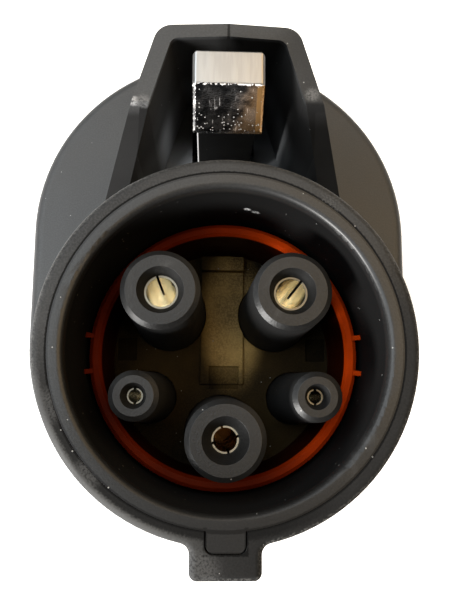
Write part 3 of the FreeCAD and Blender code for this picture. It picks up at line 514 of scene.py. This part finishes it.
def away_from(at, reach, narrow):
    """Mask of all that lies away from a place, its reach across X made less by a factor."""
    def mask(tree, coords, grain):
        drawn = vectors(tree, "MULTIPLY", coords, (narrow, 1.0, 1.0))
        near = patch_at(tree, drawn, (at[0] * narrow, at[1], at[2]), reach)
        return spread(tree, near, 0.0, 1.0, 1.0, 0.0)
    return mask


def from_axis(tree, coords):
    """Flat way from the plug's axis, and its length."""
    flat = vectors(tree, "MULTIPLY", coords, (1.0, 1.0, 0.0))
    way = vectors(tree, "SUBTRACT", flat, (PLUG_X, PLUG_Y, 0.0))
    return way, vectors(tree, "LENGTH", way, result="Value")


def ragged_line(tree, off, grain, wander, start, end):
    """Line where off is near 0, with edges from start to end that wander with the grain."""
    return spread(tree, plus(tree, off, times(tree, grain, wander)), start, end, 1.0, 0.0)


def seam(tree, coords, grain):
    """Mask of the ragged line of grime between the collar and the barrel."""
    off = unsigned(tree, minus(tree, from_axis(tree, coords)[1], SEAM_R))
    return ragged_line(tree, off, grain, *SEAM_LINE)


def split(tree, coords, grain):
    """Mask of the ragged line where the two halves of the housing meet."""
    return ragged_line(tree, unsigned(tree, along(tree, coords, "X")), grain, *SPLIT_LINE)


def key_gap(tree, coords, grain):
    """Mask of the ragged grime in the gap round the narrow key."""
    across = unsigned(tree, along(tree, coords, "X"))
    down = minus(tree, PLUG_Y, along(tree, coords, "Y"))
    off = maths(tree, "MAXIMUM", minus(tree, across, KEY_GAP_HALF), minus(tree, down, KEY_GAP_REACH))
    below = maths(tree, "GREATER_THAN", down, KEY_GAP_START)
    return times(tree, below, ragged_line(tree, unsigned(tree, off), grain, *KEY_LINE))


def ring_part(inner, outer, toward, low, high):
    """Mask of a ring about the plug's axis, on the side that a flat direction points to."""
    def mask(tree, coords, grain):
        way, out = from_axis(tree, coords)
        side = vectors(tree, "DOT_PRODUCT", vectors(tree, "NORMALIZE", way), toward, "Value")
        rough = plus(tree, out, times(tree, grain, RING_WANDER))
        band = times(tree, spread(tree, rough, inner, inner + RING_WANDER),
                     spread(tree, rough, outer, outer + RING_WANDER, 1.0, 0.0))
        return times(tree, band, spread(tree, side, low, high))
    return mask


def hood_part(tree, coords, limits):
    """Mask of the hood from its foot up to a height that it fades out at."""
    foot = maths(tree, "GREATER_THAN", along(tree, coords, "Z"), HOOD_FOOT_Z)
    return times(tree, slope(tree, coords, "Z", limits, 1.0, 0.0), foot)


def hood_back_light(tree, coords, grain):
    """Mask of painted light on the wall deep in the hood, paler towards its foot."""
    across = along(tree, coords, "X")
    deep = times(tree, within(tree, across, PLUG_X, HOOD_HALF), hood_part(tree, coords, HOOD_DEEP_Z))
    foot = slope(tree, coords, "Y", HOOD_WALL_Y, 0.95, 0.12)
    side = spread(tree, unsigned(tree, across), *HOOD_WALL_X, 1.0, 0.1)
    return times(tree, deep, times(tree, foot, side))


def hood_inner(tree, coords, grain):
    """Mask of the hood's inner walls, which lean inwards, behind its front, for painted shade in the hood.
    """
    up = minus(tree, along(tree, coords, "Y"), PLUG_Y)
    leaning = plus(tree, unsigned(tree, along(tree, coords, "X")), times(tree, up, HOOD_LEAN))
    inside = maths(tree, "LESS_THAN", leaning, HOOD_MOUTH)
    return times(tree, hood_part(tree, coords, HOOD_BEHIND_Z), inside)


def hood_right(tree, coords, grain):
    """Mask of the hood's front on its right, which faces away from the light."""
    return times(tree, slope(tree, coords, "Z", HOOD_FRONT_Z), slope(tree, coords, "X", HOOD_RIGHT_X))


def hood_legs(tree, coords, grain):
    """Mask of the hood's legs, from its bend down to the nose, for painted shade on them, as they face away
    from the light.
    """
    right = maths(tree, "GREATER_THAN", along(tree, coords, "X"), PLUG_X)
    up = minus(tree, along(tree, coords, "Y"), times(tree, right, RIGHT_LEG_RISE))
    return times(tree, spread(tree, up, *LEG_TOP_Y, 1.0, 0.0), slope(tree, coords, "Z", LEG_FOOT_Z))


def lever_edge_highlight(tree, coords, grain):
    """Mask of the lever's left edge, painted pale as a highlight."""
    return slope(tree, coords, "X", LEVER_EDGE_X, 1.0, 0.0)


# Materials

def moulded_plastic(name, colour, roughness=0.5, grain=1.0, clouds=0.25, specks=0.05, streaks=0.3, gloss=0.4,
                    marks=(), dark=(), polished=None, wear_and_light=()):
    """Matt moulded plastic: grain, cloudy tone, dust specks and rubbed streaks.

    marks are scratched patches as place, reach, tone and whether they are smooth; dark holds masks of grime
    and of painted shade with the share of tone they take; worn holds masks of wear and of painted light with
    the paler tone they bring; polished is a mask of what handling has rubbed smooth.
    """
    material, tree, shader, coords = new_material(name)
    finish = finish_of()
    skin = grain_of(tree, coords, Scale=finish.grain_scale)
    height, cloud = skin["Height"], skin["Cloud"]
    dust = effect(tree, "Dust specks", specks_group,
                  {"Vector": coords, "Scale": 1500.0, "Size": 0.13, "Share": specks})["Mask"]
    rubbed = effect(tree, "Rubbed streaks", streaks_group, {"Vector": coords, "Amount": streaks})["Mask"]
    peaks = spread(tree, height, 0.38, 0.66, 0.0, 0.4 * grain)
    tone = blend(tree, cloud, full(colour, 1 - clouds), full(colour, 1 + clouds))
    tone = blend(tree, peaks, tone, full(colour, 2.2))
    tone = blend(tree, rubbed, tone, full(STREAK))
    matt = plus(tree, times(tree, cloud, 0.12), roughness - 0.06)
    # Each dark mask darkens the tone towards SOIL_AND_SHADE: grime along joints and gaps, and painted shade
    # in hollows and on sides away from the lamps
    for mask, share in dark:
        shade = mask(tree, coords, height)
        tone = blend(tree, times(tree, shade, share), tone, full(SOIL_AND_SHADE))
        matt = plus(tree, matt, times(tree, shade, 0.4 * share))
    # Each of the worn masks lightens the tone, for wear and for painted light
    for mask, pale in wear_and_light:
        tone = blend(tree, mask(tree, coords, height), tone, full(pale))
    for at, reach, pale, smooth in marks:
        pattern = spread(tree, height, 0.30 if smooth else 0.46, 0.60)
        mark = times(tree, patch_at(tree, coords, at, reach), pattern)
        tone = blend(tree, mark, tone, full((pale, pale, pale)))
    tone = blend(tree, times(tree, dust, 0.7), tone, full(DUST))
    tree.links.new(tone, shader["Base Color"])
    tree.links.new(matt, shader["Roughness"])
    if polished is not None:
        tree.links.new(times(tree, polished(tree, coords, height), 0.6), shader["Coat Weight"])
        shader["Coat Roughness"].default_value = 0.36
    shader["Specular IOR Level"].default_value = gloss
    relief(tree, shader, height, finish.grain_height * grain)
    return material


def silicone(name, colour):
    """Soft satin rubber, with painted shade below its front and towards its left."""
    material, tree, shader, coords = new_material(name)
    skin = grain_of(tree, coords, **{"Scale": 1500.0, "Cloud scale": 140.0})
    tone = blend(tree, skin["Cloud"], full(colour, 0.8), full(colour, 1.1))
    # Painted shade towards the seal's left, and below its front
    way = vectors(tree, "DOT_PRODUCT", coords, SEAL_SIDE, "Value")
    across = minus(tree, way, SEAL_SIDE[1] * PLUG_Y)
    shaded_side = spread(tree, across, *SEAL_SHADED, 0.86, 0.0)
    tone = blend(tree, shaded_side, tone, full(colour, 0.05))
    tone = blend(tree, slope(tree, coords, "Z", SEAL_DEEP_Z, 0.97, 0.0), tone, full(colour, 0.03))
    tree.links.new(tone, shader["Base Color"])
    tree.links.new(spread(tree, skin["Cloud"], 0, 1, 0.42, 0.55), shader["Roughness"])
    shader["Specular IOR Level"].default_value = 0.05
    relief(tree, shader, skin["Height"], 0.02 * MM)
    return material


def worn_metal(name, colour, roughness=0.28, dull=0.5, face=None, inside=None):
    """Plated metal with cloudy tarnish and fine marks.

    Over its face's heights it is rubbed dull and darker; under them it takes the colour inside, if given, as
    painted shade down a deep bore.
    """
    material, tree, shader, coords = new_material(name)
    skin = grain_of(tree, coords, **{"Scale": 1400.0, "Cloud scale": 300.0})
    tone = blend(tree, skin["Cloud"], full(colour, dull), full(colour))
    matt = spread(tree, skin["Cloud"], 0, 1, roughness + 0.12, roughness)
    if face is not None:
        front = slope(tree, coords, "Z", face)
        rim = blend(tree, 0.55 if inside else 0.8, tone, full((0.02, 0.015, 0.01)))
        tone = blend(tree, front, full(inside or colour), rim)
        matt = plus(tree, matt, times(tree, front, 0.15))
    tree.links.new(tone, shader["Base Color"])
    shader["Metallic"].default_value = 1.0
    tree.links.new(matt, shader["Roughness"])
    relief(tree, shader, skin["Height"], 0.003 * MM)
    return material


def hook_plating(name):
    """Plated cast hook: brushed bright front, a ridge with beads painted bright as highlights, and a dark
    pitted ramp with a brown stain, scratches and painted glints.
    """
    material, tree, shader, coords = new_material(name)
    finish = finish_of()
    across, up = along(tree, coords, "X"), along(tree, coords, "Y")
    cloudy = noise(tree, coords, 700.0, 5.0)
    brushed = noise(tree, stretched(tree, coords, (1.0, 0.08, 0.08)), 2600.0, 4.0)

    # The bright front, and beads along its ragged lower edge painted bright as highlights
    ragged = noise(tree, coords, 2400.0, 2.0)
    height = plus(tree, up, times(tree, ragged, 0.35 * MM))
    front = spread(tree, height, *HOOK_FRONT_Y)
    ridge = minus(tree, spread(tree, height, *HOOK_RIDGE_Y), front)
    bead_highlights = times(tree, ridge, spread(tree, ragged, 0.42, 0.52))
    bright = blend(tree, spread(tree, brushed, 0.35, 0.65), full(finish.hook_colour, 0.45),
                   full(finish.hook_colour, 0.50))

    # Painted glints of the pits, bright whatever they reflect, more of them towards the tip, and slanted
    # scratches
    pits = place(tree, "ShaderNodeTexVoronoi", {"Vector": coords, "Scale": 4200.0}).outputs
    pick = place(tree, "ShaderNodeSeparateColor", {"Color": pits["Color"]}).outputs["Red"]
    share = spread(tree, up, *HOOK_PITTED_Y, 0.20, 0.02)
    chosen = maths(tree, "LESS_THAN", pick, share)
    painted_glints = times(tree, maths(tree, "LESS_THAN", pits["Distance"], 0.40), chosen)
    slanted = noise(tree, stretched(tree, coords, (1.0, 0.12, 0.12), (0.0, 0.0, 0.6)), 3000.0, 2.0)
    scratches = times(tree, spread(tree, slanted, 0.60, 0.68), spread(tree, cloudy, 0.45, 0.6, 0.0, 0.5))
    glints_and_scratches = maths(tree, "MAXIMUM", painted_glints, scratches)

    # The dark ramp, stained from its lower right and along its right edge
    fallen = times(tree, minus(tree, HOOK_EDGE_Y, up), 0.5)
    right = plus(tree, plus(tree, across, fallen), times(tree, cloudy, 4 * MM))
    warm = times(tree, spread(tree, right, *HOOK_STAIN_X), 0.5)
    edge = spread(tree, across, *HOOK_SIDE_X)
    ramp = blend(tree, spread(tree, cloudy, 0.35, 0.65), full((0.12, 0.12, 0.125)), full((0.55, 0.53, 0.52)))
    ramp = blend(tree, warm, ramp, full(finish.stain_colour))
    ramp = blend(tree, edge, ramp, full(finish.stain_colour, 0.5))
    ramp = blend(tree, glints_and_scratches, ramp, full(finish.hook_colour, 0.40))

    tone = blend(tree, bead_highlights, blend(tree, front, ramp, bright), full(finish.hook_colour))
    tree.links.new(tone, shader["Base Color"])
    stained = maths(tree, "MAXIMUM", times(tree, warm, 0.25), times(tree, edge, 0.35))
    bare_and_glints = maths(tree, "MAXIMUM", glints_and_scratches, stained)
    plated = maths(tree, "MAXIMUM", front, minus(tree, 1.0, bare_and_glints))
    tree.links.new(minus(tree, plated, times(tree, bead_highlights, 0.8)), shader["Metallic"])
    tree.links.new(spread(tree, front, 0, 1, 0.16, 0.34), shader["Roughness"])
    lumps = times(tree, pits["Distance"], minus(tree, 1.0, front))
    relief(tree, shader, plus(tree, lumps, times(tree, brushed, 0.3)), 0.03 * MM)
    return material


# Pieces

def dress(material, *nodes):
    """Gives carried nodes a material."""
    for node in nodes:
        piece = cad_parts[node]
        for index in range(max(1, len(piece.material_slots))):
            if index >= len(piece.data.materials):
                piece.data.materials.append(material)
            else:
                piece.material_slots[index].material = material


def merged_copy(node):
    """Copy of a carried node's mesh in one piece, its flat faces whole, as a bmesh."""
    form = bmesh.new()
    form.from_mesh(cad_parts[node].data)
    bmesh.ops.remove_doubles(form, verts=form.verts, dist=0.001 * MM)
    bmesh.ops.dissolve_limit(form, angle_limit=math.radians(0.5), verts=form.verts, edges=form.edges)
    return form


def finish_piece(form, name, material, body, replaced, edge):
    """Makes a bmesh an object with soft edges that rides on a body and stands for its nodes."""
    mesh = bpy.data.meshes.new(name)
    form.to_mesh(mesh)
    form.free()
    stale = mesh.attributes.get("custom_normal")
    if stale is not None:
        mesh.attributes.remove(stale)
    sharp = math.radians(28.0)
    mesh.shade_smooth()
    mesh.set_sharp_from_angle(angle=sharp)
    mesh.materials.clear()
    mesh.materials.append(material)
    piece = bpy.data.objects.new(name, mesh)
    bpy.context.scene.collection.objects.link(piece)
    if edge:
        soft = piece.modifiers.new("Soft edges", "BEVEL")
        soft.width = edge
        soft.segments = shape_of().round_steps
        soft.limit_method = "ANGLE"
        soft.angle_limit = sharp
        soft.harden_normals = True
    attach(piece, body)
    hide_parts(*replaced)
    return piece


def soften(node, name, material, edge, body="housing"):
    """The node's own form again, with its edges rounded."""
    return finish_piece(merged_copy(node), name, material, body, [node], edge)


class ADAPTER_OT_housing(bpy.types.Operator):
    """Make the two housing halves with soft edges and the thin split between them"""
    bl_idname = "adapter.housing"
    bl_label = "Housing"

    def execute(self, context):
        # Painted shade on the hood's legs, its right front and its inner walls; grime along the split
        shades = ((hood_legs, 0.95), (split, 0.9), (hood_right, 0.5), (hood_inner, 0.97))
        # Painted light on the wall deep in the hood
        lit_back = ((hood_back_light, (0.24, 0.255, 0.27)),)
        plastic = moulded_plastic("Housing plastic", finish_of().shell_colour, grain=0.6, clouds=0.12,
                                  specks=0.015, streaks=0.1, marks=KINK_MARKS, dark=shades, wear_and_light=lit_back)
        edge = shape_of().shell_edge
        soften("housing_left", "left_half", plastic, edge)
        soften("housing_right", "right_half", plastic, edge)
        return {"FINISHED"}


class ADAPTER_OT_nose(bpy.types.Operator):
    """Finish the nose's collar and barrel"""
    bl_idname = "adapter.nose"
    bl_label = "Nose"

    def execute(self, context):
        colour = finish_of().nose_colour
        edge = shape_of().moulded_edge
        grime = ((seam, 0.9), (key_gap, 0.95))
        # Painted shade on the nose's low end and on the lower left and lower right of its ring
        shades = grime + ((low_end, 0.3),
                          (ring_part(SEAM_R, ROUNDING_R, LOWER_LEFT, 0.35, 0.8), 0.75),
                          (ring_part(SEAM_R, ENDLESS, LOWER_RIGHT, 0.3, 0.8), 0.6))
        rim = ring_part(ROUNDING_R, COLLAR_R + 1 * MM, RUBBED_SIDE, 0.74, 0.94)
        rubbed = ((front_edges, (0.06, 0.06, 0.058)), (rim, (0.048, 0.048, 0.047)))
        collar = moulded_plastic("Collar plastic", [2.2 * c for c in colour], roughness=0.56, gloss=0.2,
                                 clouds=0.35, marks=COLLAR_MARKS, dark=shades, wear_and_light=rubbed)
        # The barrel takes painted shade on its low end and deep in its bore
        barrel = moulded_plastic("Barrel plastic", colour, roughness=0.46, grain=1.4, gloss=0.16,
                                 marks=BARREL_MARKS, dark=grime + ((low_end, 0.65), (bore, 0.97)),
                                 polished=rubbed_lip)
        soften("front_collar", "collar", collar, edge)
        soften("nose_barrel", "barrel", barrel, edge)
        return {"FINISHED"}


class ADAPTER_OT_insulator(bpy.types.Operator):
    """Finish the contact carrier and the cavity's floor"""
    bl_idname = "adapter.insulator"
    bl_label = "Insulator"

    def execute(self, context):
        finish = finish_of()
        edge = shape_of().moulded_edge
        # The tubes' upright walls take painted shade
        tubes = moulded_plastic("Tube plastic", finish.tube_colour, roughness=0.42, specks=0.02, gloss=0.34,
                                dark=((steep_walls, 0.97),))
        # The floor takes painted shade everywhere but its lit middle; its sunk pads are darker too
        floor = moulded_plastic("Floor plastic", finish.floor_colour, clouds=0.7, gloss=0.12,
                                dark=((away_from(*FLOOR_LIT_MIDDLE), 0.93), (sunk_pads, 0.5)))
        soften("contact_carrier", "carrier", tubes, edge)
        soften("floor_plate", "cavity_floor", floor, edge)
        return {"FINISHED"}


class ADAPTER_OT_seal(bpy.types.Operator):
    """Finish the face seal"""
    bl_idname = "adapter.seal"
    bl_label = "Face seal"

    def execute(self, context):
        rubber = silicone("Seal silicone", finish_of().seal_colour)
        soften("face_seal", "seal_ring", rubber, shape_of().moulded_edge)
        return {"FINISHED"}


class ADAPTER_OT_contacts(bpy.types.Operator):
    """Finish the plug's contacts, the inlet's pins and the leads between them"""
    bl_idname = "adapter.contacts"
    bl_label = "Contacts and pins"

    def execute(self, context):
        colour = finish_of().contact_colour
        edge = shape_of().metal_edge
        plated = worn_metal("Contact plating", colour, roughness=0.15, dull=0.92, face=CONTACT_FACE_Z)
        # The earth contact's deep bore takes a dark brown inside as painted shade
        darkened = worn_metal("Earth contact plating", colour, roughness=0.2, face=CONTACT_FACE_Z,
                              inside=(0.20, 0.09, 0.022))
        silver = worn_metal("Pin plating", (0.78, 0.76, 0.72), roughness=0.22)
        rubber = moulded_plastic("Lead rubber", (0.03, 0.03, 0.03), roughness=0.6)
        for name in CONTACT_NAMES:
            metal = darkened if name == "earth" else plated
            soften("contact_" + name, "socket_" + name, metal, edge * 0.4)
            soften("pin_" + name, "blade_" + name, silver, edge)
            dress(rubber, "lead_" + name)
        return {"FINISHED"}


class ADAPTER_OT_latch(bpy.types.Operator):
    """Finish the latch: hook, lever, pin, spring and the plunger that follows it"""
    bl_idname = "adapter.latch"
    bl_label = "Latch"

    def execute(self, context):
        shape = shape_of()
        plating = hook_plating("Hook plating")
        # The lever's left edge is painted pale as a highlight
        black = moulded_plastic("Lever plastic", (0.0008, 0.0008, 0.0008), gloss=0.1,
                                wear_and_light=((lever_edge_highlight, (0.5, 0.5, 0.5)),))
        steel = worn_metal("Spring steel", (0.6, 0.6, 0.6))
        soften("latch_hook", "hook", plating, shape.metal_edge * 2, "latch")
        soften("latch_lever", "lever", black, shape.moulded_edge, "latch")
        dress(steel, "latch_pin")
        spring = soften("latch_spring", "return_spring", steel, 0.0)
        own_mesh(spring)
        dress(moulded_plastic("Plunger plastic", (0.62, 0.60, 0.52), roughness=0.4), "switch_plunger")
        return {"FINISHED"}


class ADAPTER_OT_button(bpy.types.Operator):
    """Finish the thumb button"""
    bl_idname = "adapter.button"
    bl_label = "Release button"

    def execute(self, context):
        plastic = moulded_plastic("Button plastic", [0.7 * c for c in finish_of().shell_colour])
        edge = shape_of().moulded_edge
        soften("release_button", "thumb_button", plastic, edge, "button")
        return {"FINISHED"}


class ADAPTER_OT_inlet(bpy.types.Operator):
    """Finish the inlet at the back"""
    bl_idname = "adapter.inlet"
    bl_label = "Rear inlet"

    def execute(self, context):
        plastic = moulded_plastic("Inlet plastic", finish_of().nose_colour, roughness=0.48)
        soften("rear_collar", "inlet_collar", plastic, shape_of().shell_edge)
        soften("inlet_core", "inlet_insulator", plastic, shape_of().moulded_edge)
        return {"FINISHED"}


class ADAPTER_OT_fittings(bpy.types.Operator):
    """Finish the screws, retainers, board and switch"""
    bl_idname = "adapter.fittings"
    bl_label = "Inner fittings"

    def execute(self, context):
        dress(worn_metal("Screw steel", (0.5, 0.5, 0.5), roughness=0.3),
              "housing_screws", "contact_screws", "pin_screws")
        dress(moulded_plastic("Retainer plastic", (0.06, 0.06, 0.06)), "contact_retainer", "pin_retainer")
        dress(moulded_plastic("Board resin", (0.02, 0.09, 0.04), roughness=0.35), "circuit_board")
        dress(moulded_plastic("Switch plastic", (0.02, 0.02, 0.02), roughness=0.35), "micro_switch")
        return {"FINISHED"}


# Studio

def studio_floor(scene, studio):
    """Pale paper just under the adapter, bright enough to look white."""
    form = bmesh.new()
    bmesh.ops.create_grid(form, x_segments=1, y_segments=1, size=STUDIO_FLOOR_HALF)
    bmesh.ops.translate(form, verts=form.verts, vec=(0, 0, cad_low.z - STUDIO_FLOOR_DROP))
    mesh = bpy.data.meshes.new("studio_floor")
    form.to_mesh(mesh)
    form.free()
    floor = bpy.data.objects.new("studio_floor", mesh)
    scene.collection.objects.link(floor)
    material, tree, shader, coords = new_material("Floor paper")
    cloud = grain_of(tree, coords, **{"Scale": 900.0, "Cloud scale": 8.0})["Cloud"]
    tone = blend(tree, cloud, full(studio.floor_tone, 0.985), full(studio.floor_tone))
    tree.links.new(tone, shader["Base Color"])
    shader["Roughness"].default_value = 0.9
    shader["Emission Color"].default_value = (1.0, 1.0, 1.0, 1.0)
    shader["Emission Strength"].default_value = 0.5
    mesh.materials.append(material)


def studio_room(scene, studio):
    """Even light of the room."""
    world = bpy.data.worlds.new("Studio room")
    world.use_nodes = True
    backdrop = world.node_tree.nodes["Background"]
    backdrop.inputs["Color"].default_value = (1, 1, 1, 1)
    backdrop.inputs["Strength"].default_value = studio.sky_strength
    scene.world = world


def soft_lamp(scene, name, at, side, colour, power):
    """Square area lamp at a place, turned towards the nose."""
    lamp = bpy.data.lights.new(name, "AREA")
    lamp.shape = "SQUARE"
    lamp.size = side
    lamp.energy = power
    lamp.color = colour
    holder = bpy.data.objects.new(name, lamp)
    holder.location = at
    nose = Vector((PLUG_X, PLUG_Y, RIM_Z))
    holder.rotation_euler = (nose - Vector(at)).to_track_quat("-Z", "Y").to_euler()
    scene.collection.objects.link(holder)


def studio_camera(scene, studio):
    """Camera that looks down into the plug."""
    camera = bpy.data.cameras.new("Camera")
    camera.sensor_fit = "VERTICAL"
    camera.sensor_height = CAMERA_FRAME
    camera.lens = studio.lens
    camera.clip_start = 0.01
    holder = bpy.data.objects.new("Camera", camera)
    holder.location = studio.camera_place
    holder.rotation_euler = studio.camera_tilt
    scene.collection.objects.link(holder)
    scene.camera = holder


class ADAPTER_OT_stage(bpy.types.Operator):
    """Make the pale floor, the soft studio light and the camera"""
    bl_idname = "adapter.stage"
    bl_label = "Stage"

    def execute(self, context):
        scene = context.scene
        studio = studio_of()
        studio_floor(scene, studio)
        studio_room(scene, studio)
        for name, at, side, colour, power in LAMPS:
            soft_lamp(scene, name, at, side, colour, getattr(studio, power))
        studio_camera(scene, studio)
        scene.view_settings.view_transform = "Standard"
        return {"FINISHED"}


PIECES = (ADAPTER_OT_housing, ADAPTER_OT_nose, ADAPTER_OT_insulator, ADAPTER_OT_seal, ADAPTER_OT_contacts,
          ADAPTER_OT_latch, ADAPTER_OT_button, ADAPTER_OT_inlet, ADAPTER_OT_fittings, ADAPTER_OT_stage)


class ADAPTER_PT_panel(bpy.types.Panel):
    """Lists the adapter's pieces, sizes and finishes"""
    bl_idname = "ADAPTER_PT_panel"
    bl_label = "Charging adapter"
    bl_space_type = "VIEW_3D"
    bl_region_type = "UI"
    bl_category = "Adapter"

    def draw(self, context):
        layout = self.layout
        for piece in PIECES:
            layout.operator(piece.bl_idname)
        for group in (finish_of(), shape_of(), studio_of()):
            box = layout.box()
            for name in group.bl_rna.properties.keys():
                if name not in ("rna_type", "name"):
                    box.prop(group, name)


CLASSES = (AdapterFinish, AdapterShape, AdapterStudio) + PIECES + (ADAPTER_PT_panel,)


def register():
    for made in CLASSES:
        bpy.utils.register_class(made)
    bpy.types.Scene.adapter_finish = PointerProperty(type=AdapterFinish)
    bpy.types.Scene.adapter_shape = PointerProperty(type=AdapterShape)
    bpy.types.Scene.adapter_studio = PointerProperty(type=AdapterStudio)


def unregister():
    del bpy.types.Scene.adapter_studio
    del bpy.types.Scene.adapter_shape
    del bpy.types.Scene.adapter_finish
    for made in reversed(CLASSES):
        bpy.utils.unregister_class(made)


def main():
    """Makes every piece in order."""
    register()
    for piece in PIECES:
        group, name = piece.bl_idname.split(".")
        getattr(getattr(bpy.ops, group), name)()


if __name__ == "__main__":
    main()
